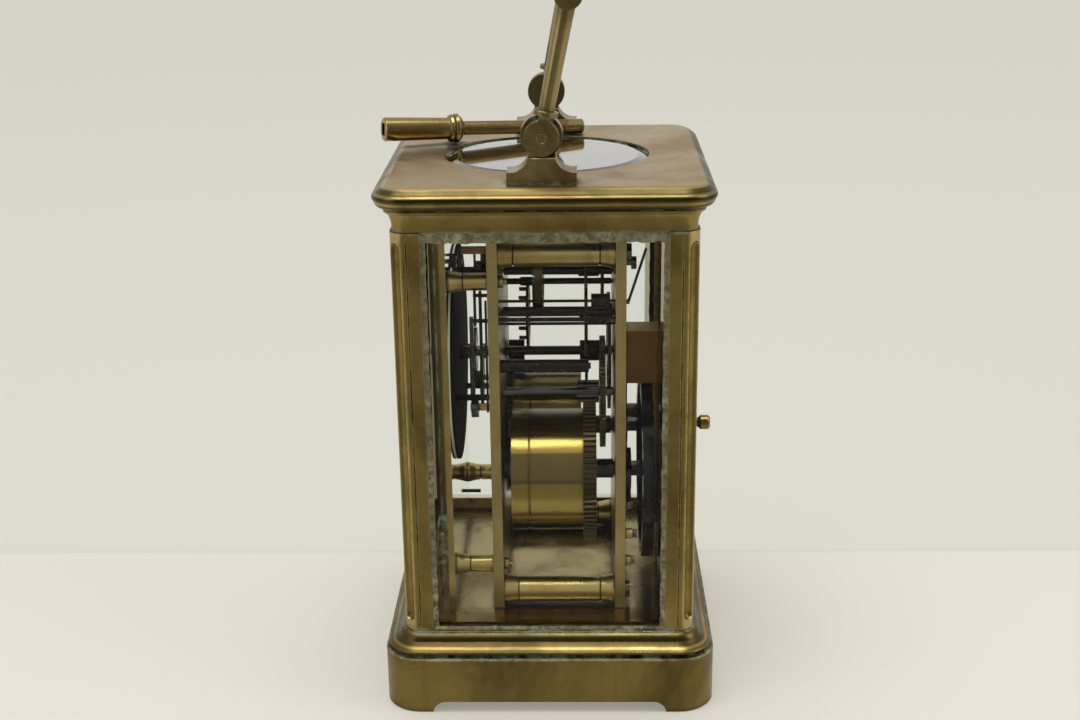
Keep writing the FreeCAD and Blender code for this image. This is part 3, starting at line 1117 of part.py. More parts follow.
def build_going_train():
    """Intermediate, centre, third and contrate wheels."""
    phase = mesh_phase(GOING_BARREL_PLACE, GREAT_TEETH, 0, INTERMEDIATE_PLACE, GREAT_PINION_TEETH)
    leaves = (GREAT_PINION_TEETH, GREAT_MODULE, phase, GREAT_PINION_Y, GREAT_PINION_LENGTH)
    wheel = (INTERMEDIATE_TEETH, INTERMEDIATE_MODULE, INTERMEDIATE_Y, THICK_WHEEL, WHEEL_SPOKES)
    parts["intermediate_wheel"] = make_mobile(INTERMEDIATE_PLACE, leaves, wheel)

    phase = mesh_phase(INTERMEDIATE_PLACE, INTERMEDIATE_TEETH, 0, CENTRE_PLACE, CENTRE_PINION_TEETH)
    leaves = (CENTRE_PINION_TEETH, INTERMEDIATE_MODULE, phase, CENTRE_PINION_Y, CENTRE_PINION_LENGTH)
    wheel = (CENTRE_TEETH, CENTRE_MODULE, CENTRE_Y, WHEEL_THICKNESS, WHEEL_SPOKES)
    shaft = rod_y(CENTRE_SHAFT_RADIUS, 0, DIAL_CENTRE_Z, CENTRE_ARBOR_END_Y, FRONT_PLATE_BACK + ARBOR_END_GAP)
    arbor = joined([make_arbor(CENTRE_PLACE, leaves, FRONT_PLATE_BACK), shaft])
    parts["centre_wheel"] = Part.Compound([make_wheel(CENTRE_PLACE, leaves, wheel), arbor])

    phase = mesh_phase(CENTRE_PLACE, CENTRE_TEETH, 0, THIRD_PLACE, THIRD_PINION_TEETH)
    leaves = (THIRD_PINION_TEETH, CENTRE_MODULE, phase, THIRD_PINION_Y, THIRD_PINION_LENGTH)
    wheel = (THIRD_TEETH, THIRD_MODULE, THIRD_Y, WHEEL_THICKNESS, WHEEL_SPOKES)
    parts["third_wheel"] = make_mobile(THIRD_PLACE, leaves, wheel)

    phase = mesh_phase(THIRD_PLACE, THIRD_TEETH, 0, CONTRATE_PLACE, CONTRATE_PINION_TEETH)
    leaves = (CONTRATE_PINION_TEETH, THIRD_MODULE, phase, CONTRATE_PINION_Y, CONTRATE_PINION_LENGTH)
    bore = arbor_radius(CONTRATE_PINION_TEETH, THIRD_MODULE) + SEAT_GAP / 2
    arbor = make_arbor(CONTRATE_PLACE, leaves, FRONT_PLATE_Y + ARBOR_END_GAP)
    parts["contrate_wheel"] = Part.Compound([make_contrate(bore), arbor])


def contrate_mean_radius():
    """Radius of the middle of the contrate wheel's teeth."""
    return pitch_radius(CONTRATE_TEETH, CONTRATE_MODULE)


def make_contrate(bore):
    """Contrate wheel: a crossed disc with a ring of teeth that stand forward."""
    mean = contrate_mean_radius()
    outer = mean + CONTRATE_RIM / 2
    inner = mean - CONTRATE_RIM / 2
    windows = spoke_windows(HUB_RADIUS, inner, 4)
    disc = disc_with(circle_wire(outer), [circle_wire(bore)] + windows, CONTRATE_DISC)
    ring_depth = CONTRATE_RING_HEIGHT
    ring = disc_with(circle_wire(outer), [circle_wire(inner)], ring_depth)
    ring.translate(Vector(0, 0, -ring_depth))
    step = 2 * math.pi / CONTRATE_TEETH
    slots = []
    half_gap = mean * step * (1 - TOOTH_PITCH_SHARE) / 2
    for tooth in range(CONTRATE_TEETH):
        slot = Part.makeBox(CONTRATE_RIM + 1, 2 * half_gap, CONTRATE_TOOTH_HEIGHT,
                            Vector(inner - 0.5, -half_gap, -ring_depth))
        slot.rotate(Vector(), Vector(0, 0, 1), math.degrees(step * (tooth + 0.5)) - 90)
        slots.append(slot)
    ring = cut_all(ring, slots)
    wheel = disc.fuse(ring).removeSplitter()
    return set_on_y(wheel, CONTRATE_PLACE, CONTRATE_FRONT_Y + ring_depth)


def build_strike_train():
    """Second, pin and warning wheels, and the fly."""
    phase = mesh_phase(STRIKE_BARREL_PLACE, GREAT_TEETH, 0, STRIKE_SECOND_PLACE, GREAT_PINION_TEETH)
    leaves = (GREAT_PINION_TEETH, GREAT_MODULE, phase, FRONT_PLATE_BACK + ARBOR_END_GAP, STRIKE_PINION_LENGTH)
    wheel = (STRIKE_SECOND_TEETH, STRIKE_SECOND_MODULE, STRIKE_SECOND_Y, WHEEL_THICKNESS, WHEEL_SPOKES)
    parts["strike_second_wheel"] = make_mobile(STRIKE_SECOND_PLACE, leaves, wheel)

    phase = mesh_phase(STRIKE_SECOND_PLACE, STRIKE_SECOND_TEETH, 0, PIN_WHEEL_PLACE, PIN_WHEEL_PINION_TEETH)
    leaves = (PIN_WHEEL_PINION_TEETH, STRIKE_SECOND_MODULE, phase, STRIKE_SECOND_Y - PINION_AHEAD,
              STRIKE_PINION_LENGTH)
    wheel = (PIN_WHEEL_TEETH, PIN_WHEEL_MODULE, PIN_WHEEL_Y, WHEEL_THICKNESS, 4)
    pins = []
    for index in range(PIN_WHEEL_PINS):
        angle = 2 * math.pi * (index + 0.5) / PIN_WHEEL_PINS
        x = PIN_WHEEL_PLACE[0] + PIN_CIRCLE * math.cos(angle)
        z = PIN_WHEEL_PLACE[1] + PIN_CIRCLE * math.sin(angle)
        pins.append(rod_y(PIN_RADIUS, x, z, PIN_WHEEL_Y - PIN_LENGTH, PIN_WHEEL_Y + WHEEL_THICKNESS))
    pinned = joined([make_wheel(PIN_WHEEL_PLACE, leaves, wheel)] + pins)
    arbor = make_arbor(PIN_WHEEL_PLACE, leaves, FRONT_PLATE_Y + ARBOR_END_GAP)
    parts["pin_wheel"] = Part.Compound([pinned, arbor])

    phase = mesh_phase(PIN_WHEEL_PLACE, PIN_WHEEL_TEETH, 0, WARNING_PLACE, WARNING_PINION_TEETH)
    leaves = (WARNING_PINION_TEETH, PIN_WHEEL_MODULE, phase, PIN_WHEEL_Y - PINION_AHEAD, STRIKE_PINION_LENGTH)
    wheel = (WARNING_TEETH, WARNING_MODULE, WARNING_Y, WHEEL_THICKNESS, 4)
    parts["warning_wheel"] = make_mobile(WARNING_PLACE, leaves, wheel)

    phase = mesh_phase(WARNING_PLACE, WARNING_TEETH, 0, FLY_PLACE, FLY_PINION_TEETH)
    leaves = pinion(FLY_PINION_TEETH, WARNING_MODULE, phase, WHEEL_THICKNESS + FLY_PINION_EXTRA, 0)
    x, z = FLY_PLACE
    middle = (FRONT_PLATE_BACK + WARNING_Y) / 2
    low = middle - FLY_LENGTH / 2
    high = middle + FLY_LENGTH / 2
    vane = joined([box(x - FLY_HALF_WIDTH, x + FLY_HALF_WIDTH, low, high,
                       z - FLY_THICKNESS / 2, z + FLY_THICKNESS / 2),
                   rod_y(FLY_HUB_RADIUS, x, z, low, high)])
    shaft = joined([rod_y(PIVOT_RADIUS, x, z, FRONT_PLATE_Y + ARBOR_END_GAP, BACK_PLATE_BACK - ARBOR_END_GAP),
                    set_on_y(leaves, FLY_PLACE, WARNING_Y - FLY_PINION_AHEAD)])
    vane = vane.cut(rod_y(PIVOT_RADIUS + SEAT_GAP / 2, x, z, FRONT_PLATE_Y, BACK_PLATE_BACK))
    parts["fly"] = Part.Compound([vane, shaft])


# ---- Motion work, dial and hands --------------------------------------------------------------
def make_hand(length, hub_bore, y, angle, eye_at):
    """Spade hand pointing up, then turned to its hour about the dial centre."""
    def up(side, along):
        return Vector(side, 0, DIAL_CENTRE_Z + along)

    half = HAND_HALF_WIDTH
    tip = HAND_TIP_HALF_WIDTH
    eye = length * eye_at
    blade = polygon_face([up(-half, 0), up(half, 0), up(tip * 2, eye), up(tip, length), up(-tip, length),
                          up(-tip * 2, eye)]).extrude(Vector(0, HAND_THICKNESS, 0))
    hub = rod_y(HAND_HUB_RADIUS, 0, DIAL_CENTRE_Z, 0, HAND_THICKNESS)
    ring = rod_y(HAND_EYE_RADIUS, 0, DIAL_CENTRE_Z + eye, 0, HAND_THICKNESS)
    ring_hole = rod_y(HAND_EYE_HOLE, 0, DIAL_CENTRE_Z + eye, -1, HAND_THICKNESS + 1)
    hand = joined([blade, hub, ring]).cut(ring_hole)
    hand = hand.cut(rod_y(hub_bore, 0, DIAL_CENTRE_Z, -1, HAND_THICKNESS + 1))
    hand.rotate(Vector(0, 0, DIAL_CENTRE_Z), Vector(0, 1, 0), angle)
    hand.translate(Vector(0, y, 0))
    return hand


def build_motion_work():
    """Cannon pinion, minute wheel, hour wheel and hands."""
    minute_y = FRONT_PLATE_Y - MINUTE_WHEEL_GAP - MOTION_WHEEL_THICKNESS
    hour_y = FRONT_PLATE_Y - HOUR_WHEEL_GAP - MOTION_WHEEL_THICKNESS
    bore = CENTRE_SHAFT_RADIUS + RUN_GAP
    pinion_y = minute_y - (CANNON_PINION_LENGTH - MOTION_WHEEL_THICKNESS) / 2
    leaves = pinion(CANNON_TEETH, CANNON_MODULE, 0, CANNON_PINION_LENGTH, 0)
    cannon = joined([set_on_y(leaves, CENTRE_PLACE, pinion_y),
                     rod_y(CANNON_PIPE_RADIUS, 0, DIAL_CENTRE_Z, MINUTE_HAND_Y - SLIDE_GAP,
                           FRONT_PLATE_Y - SLIDE_GAP)])
    parts["cannon_pinion"] = cannon.cut(rod_y(bore, 0, DIAL_CENTRE_Z, MINUTE_HAND_Y - 1, FRONT_PLATE_Y))

    phase = mesh_phase(CENTRE_PLACE, CANNON_TEETH, 0, MINUTE_PLACE, MINUTE_TEETH)
    stud_bore = MINUTE_STUD_RADIUS + RUN_GAP
    wheel = set_on_y(crossed_wheel(MINUTE_TEETH, CANNON_MODULE, phase, MOTION_WHEEL_THICKNESS, stud_bore, 0),
                     MINUTE_PLACE, minute_y)
    small_length = minute_y - hour_y + MOTION_WHEEL_THICKNESS
    small = set_on_y(pinion(MINUTE_PINION_TEETH, HOUR_MODULE, 0, small_length, stud_bore), MINUTE_PLACE,
                     minute_y - small_length)
    parts["minute_wheel"] = joined([wheel, small])

    phase = mesh_phase(MINUTE_PLACE, MINUTE_PINION_TEETH, 0, CENTRE_PLACE, HOUR_TEETH)
    pipe_bore = CANNON_PIPE_RADIUS + RUN_GAP
    wheel = set_on_y(crossed_wheel(HOUR_TEETH, HOUR_MODULE, phase, MOTION_WHEEL_THICKNESS, pipe_bore, 0),
                     CENTRE_PLACE, hour_y)
    pipe = rod_y(HOUR_PIPE_RADIUS, 0, DIAL_CENTRE_Z, HOUR_HAND_Y - SLIDE_GAP / 2, hour_y)
    pipe = pipe.cut(rod_y(pipe_bore, 0, DIAL_CENTRE_Z, HOUR_HAND_Y - 1, hour_y))
    parts["hour_wheel"] = joined([wheel, pipe])
    bore = HOUR_PIPE_RADIUS + SEAT_GAP / 2
    parts["hour_hand"] = make_hand(HOUR_HAND_LENGTH, bore, HOUR_HAND_Y, HOUR_HAND_ANGLE, HOUR_EYE_AT)
    bore = CANNON_PIPE_RADIUS + SEAT_GAP / 2
    parts["minute_hand"] = make_hand(MINUTE_HAND_LENGTH, bore, MINUTE_HAND_Y, MINUTE_HAND_ANGLE,
                                     MINUTE_EYE_AT)


def build_dial():
    """Dial with its feet, the mask in front of it and the pillars that carry the mask."""
    hole = HOUR_PIPE_RADIUS + DIAL_HOLE_GAP
    back = DIAL_FRONT_Y + DIAL_THICKNESS
    dial = rod_y(DIAL_RADIUS, 0, DIAL_CENTRE_Z, DIAL_FRONT_Y, back)
    feet = []
    for angle in DIAL_FOOT_ANGLES:
        x = DIAL_FOOT_CIRCLE * math.cos(math.radians(angle))
        z = DIAL_CENTRE_Z + DIAL_FOOT_CIRCLE * math.sin(math.radians(angle))
        feet.append(rod_y(DIAL_FOOT_RADIUS, x, z, back - JOIN_LAP, FRONT_PLATE_Y))
    dial = joined([dial] + feet)
    parts["dial"] = dial.cut(rod_y(hole, 0, DIAL_CENTRE_Z, DIAL_FRONT_Y - 1, back + 1))

    mask_back = DIAL_FRONT_Y - SEAT_GAP
    mask_front = mask_back - MASK_THICKNESS
    mask = box(-MASK_WIDTH / 2, MASK_WIDTH / 2, mask_front, mask_back, FLOOR_TOP, PLATE_TOP)
    parts["dial_mask"] = mask.cut(rod_y(MASK_HOLE_RADIUS, 0, DIAL_CENTRE_Z, mask_front - 1, mask_back + 1))

    length = FRONT_PLATE_Y - mask_back
    profile = flared_end(DIAL_PILLAR_RADIUS, DIAL_PILLAR_FLARE) + [(length, DIAL_PILLAR_RADIUS)]
    corners = ((1, DIAL_PILLAR_LOW_RIGHT), (1, DIAL_PILLAR_HIGH),
               (-1, DIAL_PILLAR_LOW_LEFT), (-1, DIAL_PILLAR_HIGH))
    pillars = [turned(profile, (sx * DIAL_PILLAR_X, mask_back, FLOOR_TOP + height), (0, 1, 0))
               for sx, height in corners]
    parts["dial_pillars"] = Part.Compound(pillars)


def build_rack():
    """Steel rack lever of the strike on its stud ahead of the front plate."""
    x, z = RACK_PIVOT
    y = FRONT_PLATE_Y - RACK_GAP - RACK_THICKNESS
    half = RACK_WIDTH / 2
    tip = RACK_TIP_WIDTH / 2
    top = z + RACK_LENGTH
    arm = polygon_face([Vector(x - half, y, z), Vector(x + half, y, z), Vector(x + tip, y, top),
                        Vector(x - tip, y, top)]).extrude(Vector(0, RACK_THICKNESS, 0))
    hub = rod_y(RACK_HUB_RADIUS, x, z, y, y + RACK_THICKNESS + RACK_HUB_EXTRA)
    lever = joined([arm, hub])
    parts["rack_lever"] = lever.cut(rod_y(RACK_STUD_RADIUS + RUN_GAP, x, z, y - 1, y + RACK_THICKNESS + 2))


# ---- Movement frame ---------------------------------------------------------------------------
def movement_pillar_places():
    """Middles of the four pillars between the plates."""
    return [(sx * MOVEMENT_PILLAR_X, FLOOR_TOP + height)
            for sx in (1, -1) for height in (MOVEMENT_PILLAR_LOW, MOVEMENT_PILLAR_HIGH)]


def make_plate(y):
    """Movement plate with its pivot and screw holes."""
    half = PLATE_WIDTH / 2
    plate = box(-half, half, y, y + PLATE_THICKNESS, FLOOR_TOP, PLATE_TOP)
    tools = [rod_y(PIVOT_RADIUS + RUN_GAP, x, z, y - 1, y + PLATE_THICKNESS + 1) for x, z in ARBOR_PLACES]
    tools += [rod_y(BARREL_PIVOT_RADIUS + RUN_GAP, x, z, y - 1, y + PLATE_THICKNESS + 1)
              for x, z in (GOING_BARREL_PLACE, STRIKE_BARREL_PLACE)]
    tools += [rod_y(PLATE_SCREW_RADIUS, x, z, y - 1, y + PLATE_THICKNESS + 1)
              for x, z in movement_pillar_places()]
    return cut_all(plate, tools)


def build_frame():
    """Plates, pillars and their screws."""
    front = make_plate(FRONT_PLATE_Y)
    shaft_hole = rod_y(CENTRE_SHAFT_RADIUS + RUN_GAP, 0, DIAL_CENTRE_Z,
                       FRONT_PLATE_Y - 1, FRONT_PLATE_BACK + 1)
    front = front.cut(shaft_hole)
    minute_stud_end = FRONT_PLATE_Y - HOUR_WHEEL_GAP - MOTION_WHEEL_THICKNESS - SLIDE_GAP
    rack_stud_end = FRONT_PLATE_Y - RACK_GAP - RACK_THICKNESS - SLIDE_GAP
    stud_root = FRONT_PLATE_Y + PLATE_THICKNESS / 2
    studs = [rod_y(MINUTE_STUD_RADIUS, MINUTE_PLACE[0], MINUTE_PLACE[1], minute_stud_end, stud_root),
             rod_y(RACK_STUD_RADIUS, RACK_PIVOT[0], RACK_PIVOT[1], rack_stud_end, stud_root)]
    parts["front_plate"] = joined([front] + studs)
    back = make_plate(BACK_PLATE_Y)
    back = back.cut(rod_y(PIVOT_RADIUS + RUN_GAP, 0, DIAL_CENTRE_Z, BACK_PLATE_Y - 1, BACK_PLATE_BACK + 1))
    stud_end = BACK_PLATE_BACK + ARBOR_END_GAP + RATCHET_THICKNESS + SLIDE_GAP
    back_studs = [rod_y(CLICK_STUD_RADIUS, x, z, BACK_PLATE_BACK - 0.5, stud_end) for x, z in click_studs()]
    hammer_x, hammer_z = hammer_pivot()
    back_studs.append(rod_y(HAMMER_STUD_RADIUS, hammer_x, hammer_z, BACK_PLATE_BACK - 0.5,
                            BACK_PLATE_BACK + HAMMER_ARM_GAP + HAMMER_ARM_THICKNESS + SLIDE_GAP))
    parts["back_plate"] = joined([back] + back_studs)

    length = PLATE_SPACING
    end = flared_end(MOVEMENT_PILLAR_RADIUS, MOVEMENT_PILLAR_FLARE)
    profile = end + [(length - along, radius) for along, radius in reversed(end)]
    pillars = []
    for x, z in movement_pillar_places():
        bore = rod_y(PLATE_SCREW_RADIUS, x, z, FRONT_PLATE_BACK - 1, BACK_PLATE_Y + 1)
        pillars.append(turned(profile, (x, FRONT_PLATE_BACK, z), (0, 1, 0)).cut(bore))
    parts["movement_pillars"] = Part.Compound(pillars)
    head = PLATE_SCREW_HEAD_HEIGHT
    rivet_y = FRONT_PLATE_Y - PLATE_RIVET_HEIGHT
    screws = []
    for x, z in movement_pillar_places():
        screws.append(joined([rod_y(PLATE_SCREW_RADIUS, x, z, rivet_y, BACK_PLATE_BACK),
                              rod_y(PLATE_SCREW_HEAD_RADIUS, x, z, BACK_PLATE_BACK, BACK_PLATE_BACK + head)]))
    parts["plate_screws"] = Part.Compound(screws)


# ---- Platform escapement ----------------------------------------------------------------------
def build_platform():
    """Platform on top of the plates, with the potence below it and the cocks above it."""
    half = PLATFORM_HALF_WIDTH
    top = PLATFORM_TOP
    plate = box(-half, half, FRONT_PLATE_Y, BACK_PLATE_BACK, PLATE_TOP, top)
    holes = [rod(STAFF_RADIUS + RUN_GAP, (0, y, PLATE_TOP - 1), (0, y, top + 1))
             for y in (LEVER_Y, BALANCE_Y)]
    holes.append(rod(ESCAPE_ARBOR_RADIUS + SLIDE_GAP, (0, ESCAPE_Y, PLATE_TOP - 1), (0, ESCAPE_Y, top + 1)))
    plate = cut_all(plate, holes)
    low = top - POTENCE_DROP
    potence_half = POTENCE_WIDTH / 2
    potence_front = ESCAPE_Y - POTENCE_AHEAD
    upright_back = potence_front + POTENCE_UPRIGHT
    potence_back = ESCAPE_Y + POTENCE_BEHIND
    potence = joined([box(-potence_half, potence_half, potence_front, upright_back, low, PLATE_TOP),
                      box(-potence_half, potence_half, potence_front, potence_back,
                          low, low + POTENCE_THICKNESS)])
    potence = potence.cut(rod(ESCAPE_ARBOR_RADIUS + RUN_GAP, (0, ESCAPE_Y, low - 1), (0, ESCAPE_Y, low + 2)))
    screw_x = half - PLATFORM_SCREW_INSET
    screw_top = top + PLATFORM_SCREW_HEIGHT
    screw_rows = (FRONT_PLATE_Y + PLATE_THICKNESS / 2, BACK_PLATE_BACK - PLATE_THICKNESS / 2)
    screws = [rod(PLATFORM_SCREW_RADIUS, (sx * screw_x, y, top), (sx * screw_x, y, screw_top))
              for sx in (1, -1) for y in screw_rows]
    parts["platform"] = Part.Compound([plate, potence] + screws)

    cock_low = top + COCK_ABOVE
    cock_high = cock_low + COCK_THICKNESS
    half = COCK_WIDTH / 2
    foot_x = ESCAPE_RADIUS + COCK_FOOT_GAP
    foot_out = foot_x + COCK_FOOT_WIDTH
    bar = joined([box(-half, half, ESCAPE_Y - half, LEVER_Y + COCK_END, cock_low, cock_high),
                  box(-foot_out, half, ESCAPE_Y - half, ESCAPE_Y + half, cock_low, cock_high),
                  box(-foot_out, -foot_x, ESCAPE_Y - half, ESCAPE_Y + half, top, cock_high)])
    bearings = [rod(ESCAPE_ARBOR_RADIUS + RUN_GAP, (0, y, cock_low - 1), (0, y, cock_high + 1))
                for y in (ESCAPE_Y, LEVER_Y)]
    escape_cock = cut_all(bar, bearings)
    cock_low = top + BALANCE_COCK_ABOVE
    cock_high = cock_low + BALANCE_COCK_THICKNESS
    foot_y = BALANCE_Y + BALANCE_RADIUS + BALANCE_COCK_FOOT_GAP
    foot_end = BACK_PLATE_BACK - BALANCE_COCK_INSET
    arm_half = BALANCE_COCK_WIDTH / 2
    foot_half = BALANCE_COCK_FOOT_WIDTH / 2
    stud_y = BALANCE_Y + HAIRSPRING_OUTER
    stud_low = top + HAIRSPRING_ABOVE + HAIRSPRING_HEIGHT + SEAT_GAP
    balance_cock = joined([rod(BALANCE_COCK_EYE_RADIUS, (0, BALANCE_Y, cock_low), (0, BALANCE_Y, cock_high)),
                           rod(HAIRSPRING_STUD_RADIUS, (0, stud_y, stud_low), (0, stud_y, cock_high)),
                           box(-arm_half, arm_half, BALANCE_Y, foot_end, cock_low, cock_high),
                           box(-foot_half, foot_half, foot_y, foot_end, top, cock_high)])
    bearing = rod(STAFF_RADIUS + RUN_GAP, (0, BALANCE_Y, cock_low - 1), (0, BALANCE_Y, cock_high + 1))
    balance_cock = balance_cock.cut(bearing)
    parts["escapement_cocks"] = Part.Compound([escape_cock, balance_cock])


def build_escapement():
    """Escape wheel with its pinion, lever, balance and balance spring."""
    top = PLATFORM_TOP
    wheel_z = top + ESCAPE_WHEEL_ABOVE
    rim = ESCAPE_RADIUS - ESCAPE_TOOTH_DEPTH
    step = 2 * math.pi / ESCAPE_TEETH
    points = []
    for tooth in range(ESCAPE_TEETH):
        for radius, share in zip((ESCAPE_RADIUS, ESCAPE_RADIUS, rim, rim), ESCAPE_TOOTH_SHARES):
            angle = step * (tooth + share + ESCAPE_PHASE)
            points.append(Vector(radius * math.cos(angle), radius * math.sin(angle), 0))
    windows = []
    for index in range(4):
        middle = math.pi / 2 * (index + 0.5)
        place = Vector(ESCAPE_HOLE_CIRCLE * math.cos(middle), ESCAPE_HOLE_CIRCLE * math.sin(middle), 0)
        windows.append(Part.Wire([Part.makeCircle(ESCAPE_HOLE_RADIUS, place)]))
    wheel = disc_with(Part.makePolygon(points + points[:1]), windows, ESCAPE_WHEEL_THICKNESS)
    wheel.translate(Vector(0, ESCAPE_Y, wheel_z))
    mean_top = CONTRATE_Z + contrate_mean_radius()
    leaves = pinion(ESCAPE_PINION_TEETH, CONTRATE_MODULE, math.pi / 2 + math.pi / ESCAPE_PINION_TEETH,
                    2 * CONTRATE_RIM, 0)
    leaves.translate(Vector(0, ESCAPE_Y, mean_top - CONTRATE_RIM))
    low = top - POTENCE_DROP
    cock_top = top + COCK_ABOVE + COCK_THICKNESS
    shaft = rod(ESCAPE_ARBOR_RADIUS, (0, ESCAPE_Y, low + SEAT_GAP), (0, ESCAPE_Y, cock_top))
    parts["escape_wheel"] = joined([wheel, leaves, shaft])

    reach = ESCAPE_RADIUS + PALLET_REACH
    lever_z = wheel_z
    lever_top = lever_z + ESCAPE_WHEEL_THICKNESS
    half = LEVER_WIDTH / 2
    fork_half = FORK_WIDTH / 2
    fork_end = BALANCE_Y - FORK_FROM_STAFF
    shapes = [rod(LEVER_HUB_RADIUS, (0, LEVER_Y, lever_z), (0, LEVER_Y, lever_top)),
              box(-half, half, LEVER_Y, fork_end, lever_z, lever_top),
              box(-fork_half, fork_half, fork_end - FORK_LENGTH, fork_end, lever_z, lever_top)]
    for side in (1, -1):
        angle = math.radians(90 - side * PALLET_HALF_ANGLE)
        tip = Vector(reach * math.cos(angle), ESCAPE_Y + reach * math.sin(angle), lever_z)
        root = Vector(side * half, LEVER_Y, lever_z)
        outer = Vector(tip.x + side * PALLET_WIDTH, tip.y + PALLET_LEAN, lever_z)
        shoulder = Vector(side * LEVER_HUB_RADIUS, LEVER_Y + PALLET_LEAN, lever_z)
        pallet = polygon_face([tip, outer, shoulder, root])
        shapes.append(pallet.extrude(Vector(0, 0, ESCAPE_WHEEL_THICKNESS)))
    cock_top = top + COCK_ABOVE + COCK_THICKNESS
    shapes.append(rod(STAFF_RADIUS, (0, LEVER_Y, PLATE_TOP + SLIDE_GAP), (0, LEVER_Y, cock_top)))
    lever = joined(shapes)
    slot = FORK_SLOT_WIDTH / 2
    slot_start = fork_end - FORK_SLOT_DEPTH
    parts["pallet_lever"] = lever.cut(box(-slot, slot, slot_start, BALANCE_Y, lever_z - 1, lever_top + 1))

    z = top + BALANCE_ABOVE
    rim = Part.makeCylinder(BALANCE_RADIUS, BALANCE_THICKNESS, Vector(0, BALANCE_Y, z))
    rim = rim.cut(Part.makeCylinder(BALANCE_RADIUS - BALANCE_RIM, BALANCE_THICKNESS, Vector(0, BALANCE_Y, z)))
    reach = BALANCE_RADIUS - BALANCE_RIM / 2
    half = BALANCE_ARM_WIDTH / 2
    arms_low = z + BALANCE_ARM_INSET
    arms_high = z + BALANCE_THICKNESS - BALANCE_ARM_INSET
    arms = box(-reach, reach, BALANCE_Y - half, BALANCE_Y + half, arms_low, arms_high)
    staff_top = top + BALANCE_COCK_ABOVE + BALANCE_COCK_THICKNESS - BALANCE_ARM_INSET
    staff = rod(STAFF_RADIUS, (0, BALANCE_Y, PLATE_TOP + SLIDE_GAP), (0, BALANCE_Y, staff_top))
    roller = rod(ROLLER_RADIUS, (0, BALANCE_Y, lever_top + SLIDE_GAP), (0, BALANCE_Y, arms_high))
    collet_radius = HAIRSPRING_OUTER - HAIRSPRING_STEP / 2 * HAIRSPRING_HALF_TURNS - SLIDE_GAP
    collet = rod(collet_radius, (0, BALANCE_Y, z), (0, BALANCE_Y, top + HAIRSPRING_ABOVE + HAIRSPRING_HEIGHT))
    parts["balance"] = joined([rim, arms, staff, roller, collet])
    parts["balance_spring"] = make_hairspring()


def flat_spiral(outer, step, half_turns, thickness, width):
    """Ribbon spiral of half circles on the local XY plane, its outer end up at +Y."""
    shapes = []
    centre = 0.0
    radius = outer
    direction = 1
    for turn in range(half_turns):
        end = centre + direction * radius
        face = polygon_face([Vector(0, end - thickness / 2, 0), Vector(0, end + thickness / 2, 0),
                             Vector(0, end + thickness / 2, width), Vector(0, end - thickness / 2, width)])
        shapes.append(face.revolve(Vector(0, centre, 0), Vector(0, 0, 1), 180))
        next_end = centre - direction * radius
        radius -= step
        centre = next_end + direction * radius
        direction = -direction
    return joined(shapes)


def make_hairspring():
    """Flat balance spring above the balance."""
    spring = flat_spiral(HAIRSPRING_OUTER, HAIRSPRING_STEP / 2, HAIRSPRING_HALF_TURNS, HAIRSPRING_THICKNESS,
                         HAIRSPRING_HEIGHT)
    spring.translate(Vector(0, BALANCE_Y, PLATFORM_TOP + HAIRSPRING_ABOVE))
    return spring


# ---- Gong and hammer --------------------------------------------------------------------------
def hammer_pivot():
    """Place of the hammer's stud on the back plate."""
    return HAMMER_PIVOT_X, FLOOR_TOP + HAMMER_PIVOT_ABOVE_FOOT


def build_gong():
    """Coiled gong, its block and the hammer."""
    gong = flat_spiral(GONG_OUTER_RADIUS, GONG_STEP, GONG_HALF_TURNS, GONG_WIRE_THICKNESS, GONG_WIRE_WIDTH)
    gong.Placement = Placement(Vector(0, GONG_Y + GONG_WIRE_WIDTH, GONG_Z), Rotation(Vector(1, 0, 0), 90))
    parts["gong_coil"] = gong
    half = GONG_BLOCK_WIDTH / 2
    low = GONG_Z + GONG_OUTER_RADIUS - GONG_WIRE_THICKNESS / 2 - GONG_BLOCK_UNDER
    block_back = BACK_PLATE_BACK + GONG_BLOCK_DEPTH
    block = box(-half, half, BACK_PLATE_BACK, block_back, low, low + GONG_BLOCK_HEIGHT)
    parts["gong_block"] = block.cut(gong)

    x, z = hammer_pivot()
    reach = GONG_OUTER_RADIUS + GONG_WIRE_THICKNESS / 2 + HAMMER_GAP + HAMMER_HEAD_RADIUS
    head_x, head_z = meet((x, z), HAMMER_ARM_LENGTH, (0, GONG_Z), reach, -1)
    y = BACK_PLATE_BACK + HAMMER_ARM_GAP
    lean = math.atan2(head_z - z, head_x - x)
    across = Vector(-math.sin(lean), 0, math.cos(lean)) * (HAMMER_ARM_WIDTH / 2)
    start = Vector(x, y, z)
    end = Vector(head_x, y, head_z)
    arm = polygon_face([start + across, end + across, end - across, start - across])
    arm = arm.extrude(Vector(0, HAMMER_ARM_THICKNESS, 0))
    hub = rod_y(HAMMER_HUB_RADIUS, x, z, y, y + HAMMER_ARM_THICKNESS)
    head = rod_y(HAMMER_HEAD_RADIUS, head_x, head_z, y, GONG_Y + HAMMER_HEAD_LENGTH)
    hammer = joined([arm, hub, head])
    bore = rod_y(HAMMER_STUD_RADIUS + RUN_GAP, x, z, y - 1, y + HAMMER_ARM_THICKNESS + 1)
    parts["hammer"] = hammer.cut(bore)


